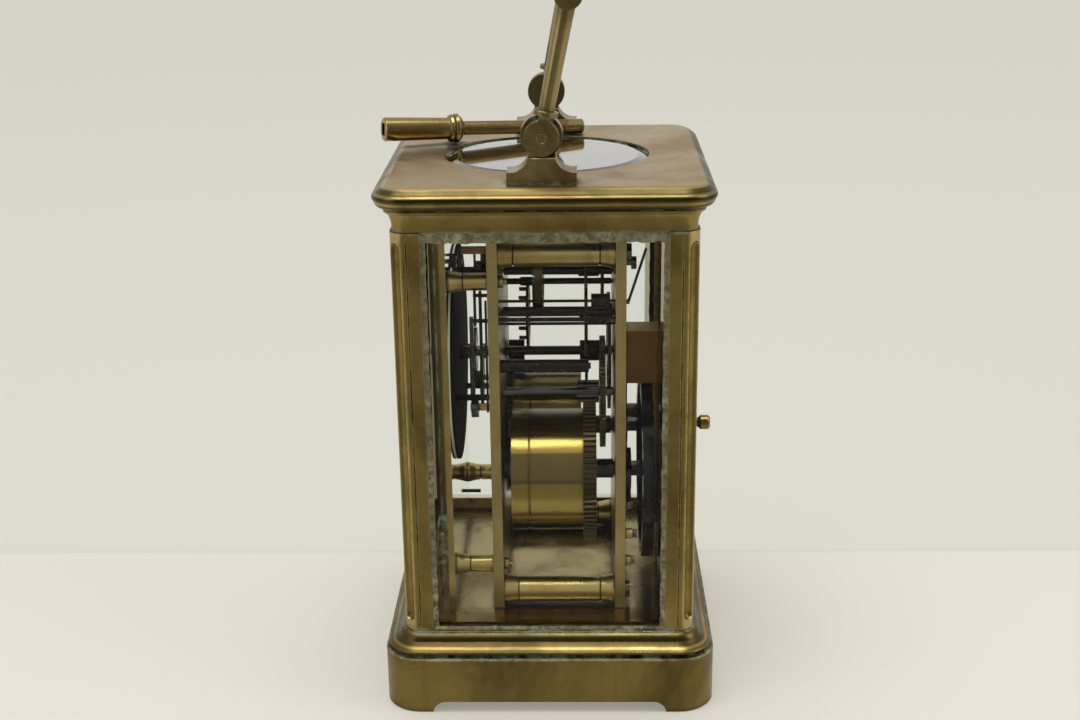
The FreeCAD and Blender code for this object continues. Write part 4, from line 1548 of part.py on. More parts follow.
# ---- Key --------------------------------------------------------------------------------------
def build_key():
    """Double-ended key lying on the top, resting on its collar and its small end."""
    barrel_end = KEY_BARREL_LENGTH
    collar_end = barrel_end + KEY_COLLAR_LENGTH
    wing_start = KEY_SHAFT_END
    wing_end = wing_start + KEY_WING_LENGTH
    collar = [(barrel_end + KEY_COLLAR_LENGTH * share, KEY_COLLAR_RADIUS - inside)
              for share, inside in KEY_COLLAR_STEPS]
    profile = [(0, KEY_BARREL_RADIUS - KEY_EDGE), (KEY_EDGE, KEY_BARREL_RADIUS),
               (barrel_end, KEY_BARREL_END_RADIUS), *collar, (collar_end, KEY_SHAFT_RADIUS),
               (wing_start, KEY_SHAFT_RADIUS), (wing_end, KEY_SHAFT_RADIUS),
               (wing_end, KEY_SMALL_RADIUS), (KEY_LENGTH - KEY_EDGE, KEY_SMALL_RADIUS),
               (KEY_LENGTH, KEY_SMALL_RADIUS - KEY_EDGE)]
    body = turned(profile, (0, 0, 0), (0, 0, 1))
    middle = (wing_start + wing_end) / 2
    half = KEY_WING_THICKNESS / 2
    offset = KEY_WING_SPAN - KEY_WING_RADIUS
    lobes = [rod(KEY_WING_RADIUS, (sx * offset, -half, middle), (sx * offset, half, middle))
             for sx in (1, -1)]
    socket_half = WINDING_SQUARE / 2 + KEY_SOCKET_GAP
    small_half = KEY_SMALL_SOCKET / 2
    cuts = [box(-socket_half, socket_half, -socket_half, socket_half, -1, KEY_SOCKET_DEPTH),
            box(-small_half, small_half, -small_half, small_half, KEY_LENGTH - KEY_SMALL_SOCKET_DEPTH,
                KEY_LENGTH + 1)]
    key = cut_all(joined([body] + lobes), cuts)
    collar_at = barrel_end + KEY_COLLAR_LENGTH * KEY_COLLAR_STEPS[-2][0]
    rise = (KEY_COLLAR_RADIUS - KEY_SMALL_RADIUS) / (KEY_LENGTH - collar_at)
    tilt = math.atan(rise)
    turn = math.radians(KEY_TURN)
    direction = Vector(-math.sin(turn) * math.cos(tilt), math.cos(turn) * math.cos(tilt), -math.sin(tilt))
    mouth_z = CASE_TOP + KEY_COLLAR_RADIUS + math.tan(tilt) * collar_at + KEY_REST_GAP
    side = Vector(math.cos(turn), math.sin(turn), 0)
    mouth = Vector(KEY_MOUTH_FROM_BRACKET - BRACKET_IN_X, KEY_MOUTH_Y, mouth_z)
    key.Placement = Placement(mouth, Rotation(side, direction.cross(side), direction, "ZXY"))
    parts["winding_key"] = key


def main():
    """Build every piece and write one STEP file for each."""
    build_case()
    build_handle()
    build_door()
    build_frame()
    build_platform()
    build_escapement()
    build_barrels()
    build_going_train()
    build_strike_train()
    build_motion_work()
    build_dial()
    build_rack()
    build_gong()
    build_key()
    os.makedirs("parts", exist_ok=True)
    for name, shape in parts.items():
        shape.exportStep(f"parts/{name}.step")
        print(name, shape.ShapeType, len(shape.Solids), shape.isValid(), round(shape.Volume, 1))


main()
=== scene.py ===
import math

import bmesh
import bpy
from mathutils import Matrix, Vector


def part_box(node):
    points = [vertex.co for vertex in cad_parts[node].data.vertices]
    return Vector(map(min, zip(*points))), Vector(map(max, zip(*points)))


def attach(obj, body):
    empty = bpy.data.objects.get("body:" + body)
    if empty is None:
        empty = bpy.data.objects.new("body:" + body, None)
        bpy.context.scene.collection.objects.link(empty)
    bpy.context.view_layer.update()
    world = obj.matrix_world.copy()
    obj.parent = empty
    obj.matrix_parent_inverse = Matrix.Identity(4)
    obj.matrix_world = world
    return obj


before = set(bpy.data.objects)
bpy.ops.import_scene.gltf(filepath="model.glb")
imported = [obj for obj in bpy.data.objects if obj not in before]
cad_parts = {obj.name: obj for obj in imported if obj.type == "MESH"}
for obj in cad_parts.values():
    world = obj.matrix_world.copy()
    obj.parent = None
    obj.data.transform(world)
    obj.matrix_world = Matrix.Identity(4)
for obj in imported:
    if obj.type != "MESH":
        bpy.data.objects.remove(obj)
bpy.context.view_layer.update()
scene = bpy.context.scene
MM = 0.001


# ---- Materials --------------------------------------------------------------------------------
def put(tree, kind, settings=None, **sockets):
    """Adds a node, sets its settings, and sets or links its inputs by name."""
    made = tree.nodes.new(kind)
    for name, value in (settings or {}).items():
        setattr(made, name, value)
    for name, value in sockets.items():
        socket = made.inputs[int(name[1:])] if name[0] == "_" else made.inputs[name.replace("_", " ")]
        if isinstance(value, bpy.types.NodeSocket):
            tree.links.new(value, socket)
        else:
            socket.default_value = value
    return made


def new_group(name, inputs, outputs):
    """An empty shader group with named sockets, and its input and output nodes."""
    group = bpy.data.node_groups.new(name, "ShaderNodeTree")
    for socket, kind, value in inputs:
        made = group.interface.new_socket(name=socket, in_out="INPUT", socket_type=f"NodeSocket{kind}")
        if value is not None:
            made.default_value = value
    for socket, kind in outputs:
        group.interface.new_socket(name=socket, in_out="OUTPUT", socket_type=f"NodeSocket{kind}")
    return group, group.nodes.new("NodeGroupInput"), group.nodes.new("NodeGroupOutput")


def noise(tree, place, scale, detail, roughness=0.5, distortion=0.0):
    """Soft noise between 0 and 1."""
    return put(tree, "ShaderNodeTexNoise", Vector=place, Scale=scale, Detail=detail, Roughness=roughness,
               Distortion=distortion).outputs["Fac"]


def ramp_between(tree, value, low, high):
    """Stretches a value so that low becomes 0 and high becomes 1."""
    return put(tree, "ShaderNodeMapRange", {"interpolation_type": "SMOOTHSTEP"}, Value=value, From_Min=low,
               From_Max=high).outputs["Result"]


def blend_colours(tree, mask, under, over):
    """Colour that goes from under to over as the mask rises."""
    made = tree.nodes.new("ShaderNodeMix")
    made.data_type = "RGBA"
    for socket, value in ((made.inputs["Factor"], mask), (made.inputs[6], under), (made.inputs[7], over)):
        if isinstance(value, bpy.types.NodeSocket):
            tree.links.new(value, socket)
        else:
            socket.default_value = value
    return made.outputs[2]


def arithmetic(tree, how, first, second, clamp=False):
    """One step of arithmetic on two values."""
    return put(tree, "ShaderNodeMath", {"operation": how, "use_clamp": clamp}, _0=first, _1=second).outputs[0]


def scaled(tree, value, factor, offset):
    """A value times a factor plus an offset."""
    return put(tree, "ShaderNodeMath", {"operation": "MULTIPLY_ADD"}, _0=value, _1=factor,
               _2=offset).outputs[0]


WARM_BRASS = (0.20, 0.105, 0.035, 1)


def make_tarnish():
    """Patches, specks and wiping marks of old brass."""
    tree, given, result = new_group(
        "tarnish",
        [("Place", "Vector", None), ("Bright", "Color", (0.5, 0.36, 0.13, 1)),
         ("Dull", "Color", (0.2, 0.14, 0.05, 1)),
         ("Dark", "Color", (0.05, 0.035, 0.015, 1)), ("Patch Scale", "Float", 35.0),
         ("Roughness", "Float", 0.3), ("Speck", "Float", 0.5)],
        [("Colour", "Color"), ("Roughness", "Float"), ("Height", "Float")])
    place = given.outputs["Place"]
    patches = noise(tree, place, given.outputs["Patch Scale"], 6.0, 0.6, 0.8)
    specks = noise(tree, place, 900.0, 3.0, 0.7)
    upright = put(tree, "ShaderNodeMapping", Vector=place, Scale=(1.0, 1.0, 0.05)).outputs["Vector"]
    streaks = noise(tree, upright, 260.0, 5.0, 0.7)
    tilted = put(tree, "ShaderNodeMapping", Vector=place, Rotation=(0.6, 0.9, 0.4), Scale=(1.0, 0.06, 1.0))
    scratches = noise(tree, tilted.outputs["Vector"], 1400.0, 2.0, 0.5)
    dull = ramp_between(tree, patches, 0.36, 0.66)
    colour = blend_colours(tree, dull, given.outputs["Bright"], given.outputs["Dull"])
    drift = noise(tree, place, 21.0, 4.0, 0.55, 1.2)
    warm = scaled(tree, ramp_between(tree, drift, 0.52, 0.68), 0.45, 0.0)
    colour = blend_colours(tree, warm, colour, WARM_BRASS)
    streak = scaled(tree, ramp_between(tree, streaks, 0.50, 0.80), 0.35, 0.0)
    colour = blend_colours(tree, streak, colour, given.outputs["Dark"])
    spotted = arithmetic(tree, "MULTIPLY", ramp_between(tree, specks, 0.60, 0.72), given.outputs["Speck"])
    colour = blend_colours(tree, arithmetic(tree, "MULTIPLY", spotted, dull), colour, given.outputs["Dark"])
    fine = arithmetic(tree, "MULTIPLY", ramp_between(tree, scratches, 0.62, 0.74), 0.35)
    colour = blend_colours(tree, fine, colour, given.outputs["Bright"])
    rough = arithmetic(tree, "ADD", given.outputs["Roughness"], arithmetic(tree, "MULTIPLY", dull, 0.16))
    rough = arithmetic(tree, "ADD", rough, arithmetic(tree, "MULTIPLY", streaks, 0.08))
    tree.links.new(colour, result.inputs["Colour"])
    tree.links.new(rough, result.inputs["Roughness"])
    height = arithmetic(tree, "ADD", scaled(tree, specks, 0.4, 0.0), scaled(tree, patches, 0.6, 0.0))
    tree.links.new(arithmetic(tree, "SUBTRACT", height, arithmetic(tree, "MULTIPLY", fine, 0.6)),
                   result.inputs["Height"])
    return tree


def make_crust():
    """Pale green crust along a level seam, broken up by noise."""
    tree, given, result = new_group(
        "crust", [("Place", "Vector", None), ("Level", "Float", 0.0), ("Half Width", "Float", 0.0008),
                  ("Amount", "Float", 0.5)], [("Mask", "Float")])
    height = put(tree, "ShaderNodeSeparateXYZ", Vector=given.outputs["Place"]).outputs["Z"]
    away = arithmetic(tree, "ABSOLUTE", arithmetic(tree, "SUBTRACT", height, given.outputs["Level"]), 0.0)
    share = arithmetic(tree, "DIVIDE", away, given.outputs["Half Width"])
    near = arithmetic(tree, "SUBTRACT", 1.0, share, True)
    broken = noise(tree, given.outputs["Place"], 260.0, 4.0, 0.7)
    patchy = ramp_between(tree, broken, 0.42, 0.62)
    mask = arithmetic(tree, "MULTIPLY", arithmetic(tree, "MULTIPLY", near, patchy), given.outputs["Amount"])
    tree.links.new(mask, result.inputs["Mask"])
    return tree


def make_hollow_grime_shade_crust():
    """Dark grime with painted shade and pale green crust from how hidden a place is, and gold on worn edges
    and on painted highlights.
    """
    tree, given, result = new_group(
        "hollow grime and shade", [("Place", "Vector", None), ("Colour", "Color", None), ("Roughness", "Float", 0.3),
                        ("Open", "Float", 1.0), ("Edge", "Float", 0.0), ("Seam", "Float", 0.0),
                        ("Dirt", "Color", (0.03, 0.024, 0.012, 1)), ("Green", "Color", (0.30, 0.36, 0.25, 1)),
                        ("Gold", "Color", (0.6, 0.45, 0.18, 1)), ("Dirt Amount", "Float", 0.8),
                        ("Green Amount", "Float", 0.7), ("Gold Amount", "Float", 0.6)],
        [("Colour", "Color"), ("Roughness", "Float"), ("Metallic", "Float")])
    broken = noise(tree, given.outputs["Place"], 190.0, 5.0, 0.7)
    hidden = arithmetic(tree, "SUBTRACT", 1.0, given.outputs["Open"], True)
    shaken = arithmetic(tree, "ADD", hidden, scaled(tree, broken, 0.5, -0.25))
    # dark grime together with painted shade, from how hidden a place is
    grime_and_shade = arithmetic(tree, "MULTIPLY", ramp_between(tree, shaken, 0.10, 0.55), given.outputs["Dirt Amount"])
    crusted = arithmetic(tree, "MULTIPLY", ramp_between(tree, shaken, 0.42, 0.62),
                         given.outputs["Green Amount"])
    crusted = arithmetic(tree, "MULTIPLY", crusted, ramp_between(tree, broken, 0.40, 0.60))
    crusted = arithmetic(tree, "MAXIMUM", crusted, given.outputs["Seam"])
    # gold on worn edges, and on the case's upright corner a painted highlight
    wear_and_highlight = arithmetic(tree, "MULTIPLY", given.outputs["Edge"], given.outputs["Gold Amount"])
    wear_and_highlight = arithmetic(tree, "MULTIPLY", wear_and_highlight, ramp_between(tree, broken, 0.30, 0.55))
    colour = blend_colours(tree, wear_and_highlight, given.outputs["Colour"], given.outputs["Gold"])
    # the Dirt colour stands for grime and painted shade in the hollows
    colour = blend_colours(tree, grime_and_shade, colour, given.outputs["Dirt"])
    colour = blend_colours(tree, crusted, colour, given.outputs["Green"])
    rough = arithmetic(tree, "ADD", given.outputs["Roughness"], arithmetic(tree, "MULTIPLY", crusted, 0.5))
    rough = arithmetic(tree, "ADD", rough, arithmetic(tree, "MULTIPLY", grime_and_shade, 0.2))
    rough = arithmetic(tree, "SUBTRACT", rough, arithmetic(tree, "MULTIPLY", wear_and_highlight, 0.06))
    tree.links.new(colour, result.inputs["Colour"])
    tree.links.new(rough, result.inputs["Roughness"])
    tree.links.new(arithmetic(tree, "SUBTRACT", 1.0, crusted, True), result.inputs["Metallic"])
    return tree


TARNISH = make_tarnish()
CRUST = make_crust()
HOLLOW_GRIME_SHADE_CRUST = make_hollow_grime_shade_crust()


def new_material(name):
    """A material, its tree, its Principled shader and its Object coordinates."""
    material = bpy.data.materials.new(name)
    material.use_nodes = True
    tree = material.node_tree
    place = tree.nodes.new("ShaderNodeTexCoord").outputs["Object"]
    return material, tree, tree.nodes["Principled BSDF"], place


def edge_mask(tree, rounded):
    """How far the rounded normal leans from the flat one, which marks edges."""
    flat = tree.nodes.new("ShaderNodeNewGeometry").outputs["Normal"]
    same = put(tree, "ShaderNodeVectorMath", {"operation": "DOT_PRODUCT"}, _0=rounded, _1=flat)
    return ramp_between(tree, arithmetic(tree, "SUBTRACT", 1.0, same.outputs["Value"]), 0.02, 0.16)


def through_stops(tree, level, stops):
    """Grey that goes through stops (position, brightness) as a level rises from 0 to 1."""
    ramp = put(tree, "ShaderNodeValToRGB", Fac=level)
    elements = ramp.color_ramp.elements
    for element, (_, bright) in zip(elements, (stops[0], stops[-1])):
        element.color = (bright, bright, bright, 1)
    for at, bright in stops[1:-1]:
        elements.new(at).color = (bright, bright, bright, 1)
    return ramp.outputs["Color"]


# darkest colour and lift of the painted shade and highlight bands
BAND_PAINTED_SHADE = (0.022, 0.02, 0.010, 1)
BAND_PAINTED_HIGHLIGHT = 1.5


def shade_and_highlight_bands(tree, place, colour, bands):
    """Colour darkened or lifted by height as painted shade and painted highlight lines: bands are (height in
    mm, share of the lifted colour).
    """
    foot, head = bands[0][0], bands[-1][0]
    height = put(tree, "ShaderNodeSeparateXYZ", Vector=place).outputs["Z"]
    level = put(tree, "ShaderNodeMapRange", Value=height, From_Min=foot * MM,
                From_Max=head * MM).outputs["Result"]
    wavy = noise(tree, place, 90.0, 4.0, 0.65)
    level = arithmetic(tree, "ADD", level, scaled(tree, wavy, 0.05, -0.025))
    grey = through_stops(tree, level, [((at - foot) / (head - foot), share) for at, share in bands])
    lifted = put(tree, "ShaderNodeVectorMath", {"operation": "MULTIPLY"}, _0=colour,
                 _1=(BAND_PAINTED_HIGHLIGHT, BAND_PAINTED_HIGHLIGHT, BAND_PAINTED_HIGHLIGHT))
    return blend_colours(tree, grey, BAND_PAINTED_SHADE, lifted.outputs["Vector"])


MOULDING_TOP = 20.5                # heights and distances of the case, in millimetres
CORNER_START, CORNER_END = 72.3, 73.2


def painted_corner_highlight(tree, place):
    """Marks the rounded upright corner of each pillar of the case for a painted highlight."""
    size = put(tree, "ShaderNodeVectorMath", {"operation": "ABSOLUTE"}, _0=place).outputs["Vector"]
    apart = put(tree, "ShaderNodeSeparateXYZ", Vector=size)
    across = arithmetic(tree, "ADD", apart.outputs["X"], apart.outputs["Y"])
    above = arithmetic(tree, "GREATER_THAN", apart.outputs["Z"], MOULDING_TOP * MM)
    corner = ramp_between(tree, across, CORNER_START * MM, CORNER_END * MM)
    return scaled(tree, arithmetic(tree, "MULTIPLY", corner, above), 0.75, 0.0)


FINE_BUMP = 0.04 * MM
# painted highlight lines and painted shade on the base moulding, by height
MOULDING_PAINTED_BANDS = ((15.1, 0.05), (15.5, 0.1), (15.7, 0.45), (16.7, 0.45), (16.9, 0.3), (17.05, 1.0),
                  (17.3, 0.95), (17.5, 0.24), (18.8, 0.25), (19.4, 0.3), (20.2, 0.26), (20.35, 0.35),
                  (20.45, 0.667))


def old_surface(tree, shader, place, colour, tarnish, seam, painted_light=False, bump=0.3, bevel=0.25, reach=2.5,
                dirt=0.8, green=0.7, gold=0.6):
    """Grime with painted shade and green crust in the hollows, gold on worn edges, a painted highlight on the
    upright corner when asked, and fine bumps.
    """
    rounded = put(tree, "ShaderNodeBevel", {"samples": 4}, Radius=bevel * MM).outputs["Normal"]
    # how open a place is, for grime with painted shade in the hollows
    open_share = put(tree, "ShaderNodeAmbientOcclusion", {"samples": 8}, Distance=reach * MM).outputs["AO"]
    edge = edge_mask(tree, rounded)
    # on the case, a painted highlight along the rounded upright corner
    if painted_light:
        edge = arithmetic(tree, "MAXIMUM", edge, painted_corner_highlight(tree, place))
    hollows = put(tree, "ShaderNodeGroup", {"node_tree": HOLLOW_GRIME_SHADE_CRUST}, Place=place, Colour=colour,
                  Roughness=tarnish.outputs["Roughness"], Open=open_share, Edge=edge, Seam=seam,
                  Dirt_Amount=dirt, Green_Amount=green, Gold_Amount=gold)
    tree.links.new(hollows.outputs["Colour"], shader.inputs["Base Color"])
    tree.links.new(hollows.outputs["Roughness"], shader.inputs["Roughness"])
    tree.links.new(hollows.outputs["Metallic"], shader.inputs["Metallic"])
    made = put(tree, "ShaderNodeBump", Height=tarnish.outputs["Height"], Strength=bump, Distance=FINE_BUMP,
               Normal=rounded)
    tree.links.new(made.outputs["Normal"], shader.inputs["Normal"])


def crusted_seams(tree, place, seams):
    """Crust along level seams (height, half width, amount), the first two in millimetres."""
    seam = 0.0
    for level, half_width, amount in seams:
        mask = put(tree, "ShaderNodeGroup", {"node_tree": CRUST}, Place=place, Level=level * MM,
                   Half_Width=half_width * MM, Amount=amount).outputs["Mask"]
        seam = arithmetic(tree, "MAXIMUM", seam, mask)
    return seam


def old_brass(name, bright, dull, dark, patch_scale, roughness, seams=(), speck=0.5, painted_light=False,
              **surface):
    """Tarnished brass with grime, painted shade and green crust in its hollows, gold on its worn edges, and,
    when asked, painted highlight and shade bands by height and a painted highlight on the upright corner.
    """
    material, tree, shader, place = new_material(name)
    tarnish = put(tree, "ShaderNodeGroup", {"node_tree": TARNISH}, Place=place, Bright=bright, Dull=dull,
                  Dark=dark, Patch_Scale=patch_scale, Roughness=roughness, Speck=speck)
    colour = tarnish.outputs["Colour"]
    # painted highlight and shade bands by height, on the case
    if painted_light:
        colour = shade_and_highlight_bands(tree, place, colour, MOULDING_PAINTED_BANDS)
    old_surface(tree, shader, place, colour, tarnish, crusted_seams(tree, place, seams), painted_light, **surface)
    return material


CASE_SEAMS = ((15.3, 0.6, 0.7), (20.6, 1.0, 0.7), (124.4, 0.8, 0.6), (129.4, 0.5, 0.4))
PLINTH_SEAMS = ((15.0, 0.7, 0.6),)
HANDLE_SEAMS = ((135.7, 0.6, 0.6), (150.9, 0.7, 0.8))
SIDE_DULL, SIDE_DARK = (0.135, 0.098, 0.029, 1), (0.045, 0.035, 0.013, 1)
# the case carries painted highlight and shade bands and a painted corner highlight
case_brass = old_brass("case_brass", (0.27, 0.20, 0.062, 1), SIDE_DULL, SIDE_DARK, 30.0, 0.17, CASE_SEAMS,
                       gold=0.8, painted_light=True)
plinth_brass = old_brass("plinth_brass", (0.215, 0.155, 0.050, 1), (0.095, 0.070, 0.023, 1),
                         (0.035, 0.027, 0.011, 1), 26.0, 0.24, PLINTH_SEAMS)
handle_brass = old_brass("handle_brass", (0.29, 0.225, 0.095, 1), (0.115, 0.09, 0.038, 1),
                         (0.03, 0.024, 0.012, 1), 60.0, 0.2, HANDLE_SEAMS, green=1.0, reach=3.5)
key_brass = old_brass("key_brass", (0.30, 0.22, 0.08, 1), (0.15, 0.108, 0.04, 1), (0.04, 0.03, 0.012, 1),
                      70.0, 0.18, green=0.2)
pillar_brass = old_brass("pillar_brass", (0.46, 0.345, 0.125, 1), (0.32, 0.235, 0.085, 1),
                         (0.09, 0.065, 0.025, 1), 30.0, 0.22, speck=0.3, green=0.0, dirt=0.9, reach=1.2,
                         bump=0.1)
plate_brass = old_brass("plate_brass", (0.43, 0.33, 0.135, 1), (0.29, 0.222, 0.092, 1),
                        (0.10, 0.075, 0.035, 1), 25.0, 0.24, speck=0.3, green=0.0, reach=1.2, bump=0.1)
floor_brass = old_brass("floor_brass", (0.38, 0.30, 0.135, 1), (0.28, 0.218, 0.098, 1),
                        (0.06, 0.045, 0.02, 1), 55.0, 0.10, speck=0.9, green=0.0, bump=0.06)
block_brass = old_brass("block_brass", (0.20, 0.105, 0.032, 1), (0.15, 0.08, 0.026, 1),
                        (0.09, 0.05, 0.02, 1), 25.0, 0.35, speck=0.2, green=0.0, bump=0.1)


# painted highlight lines and painted shade on the cornice mouldings, by height
CORNICE_PAINTED_BANDS = ((129.0, 0.80), (129.8, 0.85), (129.95, 0.5), (130.3, 0.3), (131.3, 0.22), (131.55, 1.0),
                 (132.0, 0.95), (132.2, 0.35), (132.9, 0.08), (133.3, 0.1), (133.5, 0.75), (133.85, 0.7),
                 (134.1, 0.16), (134.9, 0.20), (135.1, 0.6), (135.5, 0.6))
CORNICE_SEAMS = ((124.3, 0.8, 0.6),)
TOP_START, TOP_END = 134.9, 135.35


def make_cornice_brass():
    """The case's brass on the mouldings, with painted highlight and shade bands by height, and a rosier,
    smoother brass on the flat top, lighter in part as painted reflection.
    """
    material, tree, shader, place = new_material("cornice_brass")
    side = put(tree, "ShaderNodeGroup", {"node_tree": TARNISH}, Place=place, Bright=(0.245, 0.18, 0.056, 1),
               Dull=(0.125, 0.092, 0.028, 1), Dark=SIDE_DARK, Patch_Scale=30.0, Roughness=0.24)
    # the top's rosy tone is its own; its lighter colour is partly painted reflection
    top = put(tree, "ShaderNodeGroup", {"node_tree": TARNISH}, Place=place, Bright=(0.40, 0.30, 0.145, 1),
              Dull=(0.29, 0.185, 0.07, 1), Dark=(0.20, 0.14, 0.065, 1), Patch_Scale=28.0, Roughness=0.22,
              Speck=0.1)
    height = put(tree, "ShaderNodeSeparateXYZ", Vector=place).outputs["Z"]
    high = ramp_between(tree, height, TOP_START * MM, TOP_END * MM)
    # painted highlight and shade bands on the mouldings
    moulded = shade_and_highlight_bands(tree, place, side.outputs["Colour"], CORNICE_PAINTED_BANDS)
    colour = blend_colours(tree, high, moulded, top.outputs["Colour"])
    old_surface(tree, shader, place, colour, side, crusted_seams(tree, place, CORNICE_SEAMS), bevel=0.3,
                gold=0.25)
    return material


cornice_brass = make_cornice_brass()


def from_axis(tree, place, node_name):
    """Distance of a place from the axis, along Y, of a round node."""
    low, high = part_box(node_name)
    across = put(tree, "ShaderNodeVectorMath", {"operation": "SUBTRACT"}, _0=place,
                 _1=((low[0] + high[0]) / 2, 0.0, (low[2] + high[2]) / 2)).outputs["Vector"]
    flat = put(tree, "ShaderNodeVectorMath", {"operation": "MULTIPLY"}, _0=across, _1=(1.0, 0.0, 1.0))
    return put(tree, "ShaderNodeVectorMath", {"operation": "LENGTH"},
               _0=flat.outputs["Vector"]).outputs["Value"]


# near black of the painted shade in narrow hollows
NEAR_BLACK_PAINTED_SHADE = (0.012, 0.01, 0.007, 1)
GRIME = (0.03, 0.025, 0.017, 1)
ARBOR_STEEL = (0.022, 0.021, 0.020, 1)
BRIGHT_STEEL = (0.105, 0.103, 0.095, 1)
# dark brass of the wheels, darkened as painted shade of the movement's inside
SHADED_WHEEL_BRASS = (0.085, 0.060, 0.030, 1)


def with_painted_hollow_shade(tree, colour):
    """Colour that goes near black in narrow hollows, as painted shade."""
    open_share = put(tree, "ShaderNodeAmbientOcclusion", {"samples": 4}, Distance=0.8 * MM).outputs["AO"]
    hidden = arithmetic(tree, "SUBTRACT", 1.0, open_share, True)
    return blend_colours(tree, scaled(tree, hidden, 0.9, 0.0), colour, NEAR_BLACK_PAINTED_SHADE)


def make_round(node_name, split, inner, outer, inner_rough, outer_rough):
    """Metal of one round node: inner colour up to the split radius, outer colour beyond it."""
    material, tree, shader, place = new_material(f"{node_name}_metal")
    out = arithmetic(tree, "GREATER_THAN", from_axis(tree, place, node_name), split * MM)
    cloud = noise(tree, place, 140.0, 5.0, 0.65)
    darker = arithmetic(tree, "MULTIPLY", ramp_between(tree, cloud, 0.35, 0.7), 0.55)
    colour = blend_colours(tree, darker, blend_colours(tree, out, inner, outer), GRIME)
    # painted shade in the narrow hollows
    tree.links.new(with_painted_hollow_shade(tree, colour), shader.inputs["Base Color"])
    rough = put(tree, "ShaderNodeMapRange", Value=out, To_Min=inner_rough,
                To_Max=outer_rough).outputs["Result"]
    tree.links.new(arithmetic(tree, "ADD", rough, arithmetic(tree, "MULTIPLY", cloud, 0.1)),
                   shader.inputs["Roughness"])
    shader.inputs["Metallic"].default_value = 1.0
    return material


WHEELS = {"intermediate_wheel": (2.95, BRIGHT_STEEL), "centre_wheel": (2.75, ARBOR_STEEL),
          "third_wheel": (2.3, ARBOR_STEEL), "contrate_wheel": (1.7, ARBOR_STEEL),
          "strike_second_wheel": (2.95, ARBOR_STEEL), "pin_wheel": (2.3, ARBOR_STEEL),
          "warning_wheel": (1.9, ARBOR_STEEL), "fly": (1.4, ARBOR_STEEL), "minute_wheel": (1.5, ARBOR_STEEL),
          "hour_wheel": (2.6, SHADED_WHEEL_BRASS)}   # radius in millimetres and colour of each pinion or pipe
DRUM_GOLD = (0.40, 0.285, 0.075, 1)
DRUM_DARK = (0.11, 0.082, 0.035, 1)
DRUM_RADIUS = 15.9
# painted reflection bands on a spring drum: (share of its height, share of the gold)
DRUM_PAINTED_REFLECTIONS = ((0.0, 0.08), (0.20, 0.10), (0.27, 0.60), (0.42, 0.72), (0.56, 0.55), (0.575, 0.06),
              (0.66, 0.04), (0.74, 0.10), (0.785, 0.14), (0.80, 1.0), (0.88, 1.0), (0.90, 0.1), (0.925, 1.0),
              (0.95, 0.9), (0.965, 0.12), (1.0, 0.08))


def make_drum(node_name):
    """Gold of a spring drum with level bands of painted reflection and worn patches of tarnish, and the dark
    great wheel outside it.
    """
    material, tree, shader, place = new_material(f"{node_name}_metal")
    low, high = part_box(node_name)
    middle = (low[2] + high[2]) / 2
    out = arithmetic(tree, "GREATER_THAN", from_axis(tree, place, node_name), DRUM_RADIUS * MM)
    height = put(tree, "ShaderNodeSeparateXYZ", Vector=place).outputs["Z"]
    wavy = noise(tree, place, 60.0, 4.0, 0.6)
    level = put(tree, "ShaderNodeMapRange", Value=height, From_Min=middle - DRUM_RADIUS * MM,
                From_Max=middle + DRUM_RADIUS * MM).outputs["Result"]
    level = arithmetic(tree, "ADD", level, scaled(tree, wavy, 0.012, -0.006))
    # painted reflections as level bands between dark and gold
    gold = blend_colours(tree, through_stops(tree, level, DRUM_PAINTED_REFLECTIONS), DRUM_DARK, DRUM_GOLD)
    worn = scaled(tree, ramp_between(tree, wavy, 0.4, 0.7), 0.3, 0.0)
    colour = blend_colours(tree, out, blend_colours(tree, worn, gold, DRUM_DARK), SHADED_WHEEL_BRASS)
    tree.links.new(with_painted_hollow_shade(tree, colour), shader.inputs["Base Color"])
    tree.links.new(scaled(tree, out, 0.08, 0.2), shader.inputs["Roughness"])
    shader.inputs["Metallic"].default_value = 1.0
    return material


def make_steel(name, colour, spot, roughness):
    """Dark steel with faint spotting."""
    material, tree, shader, place = new_material(name)
    spots = noise(tree, place, 600.0, 3.0)
    mask = ramp_between(tree, spots, 0.5, 0.75)
    tree.links.new(blend_colours(tree, mask, colour, spot), shader.inputs["Base Color"])
    tree.links.new(arithmetic(tree, "ADD", arithmetic(tree, "MULTIPLY", mask, 0.2), roughness),
                   shader.inputs["Roughness"])
    shader.inputs["Metallic"].default_value = 1.0
    return material


steel = make_steel("steel", (0.08, 0.078, 0.074, 1), (0.03, 0.026, 0.022, 1), 0.2)
dark_steel = make_steel("dark_steel", (0.026, 0.027, 0.031, 1), (0.016, 0.013, 0.010, 1), 0.15)


GLASS_TINT = (0.96, 0.98, 0.965, 1)
PANE_FOOT, PANE_HEAD, PANE_SIDE = 25.4, 122.0, 26.6      # where the bevelled border starts


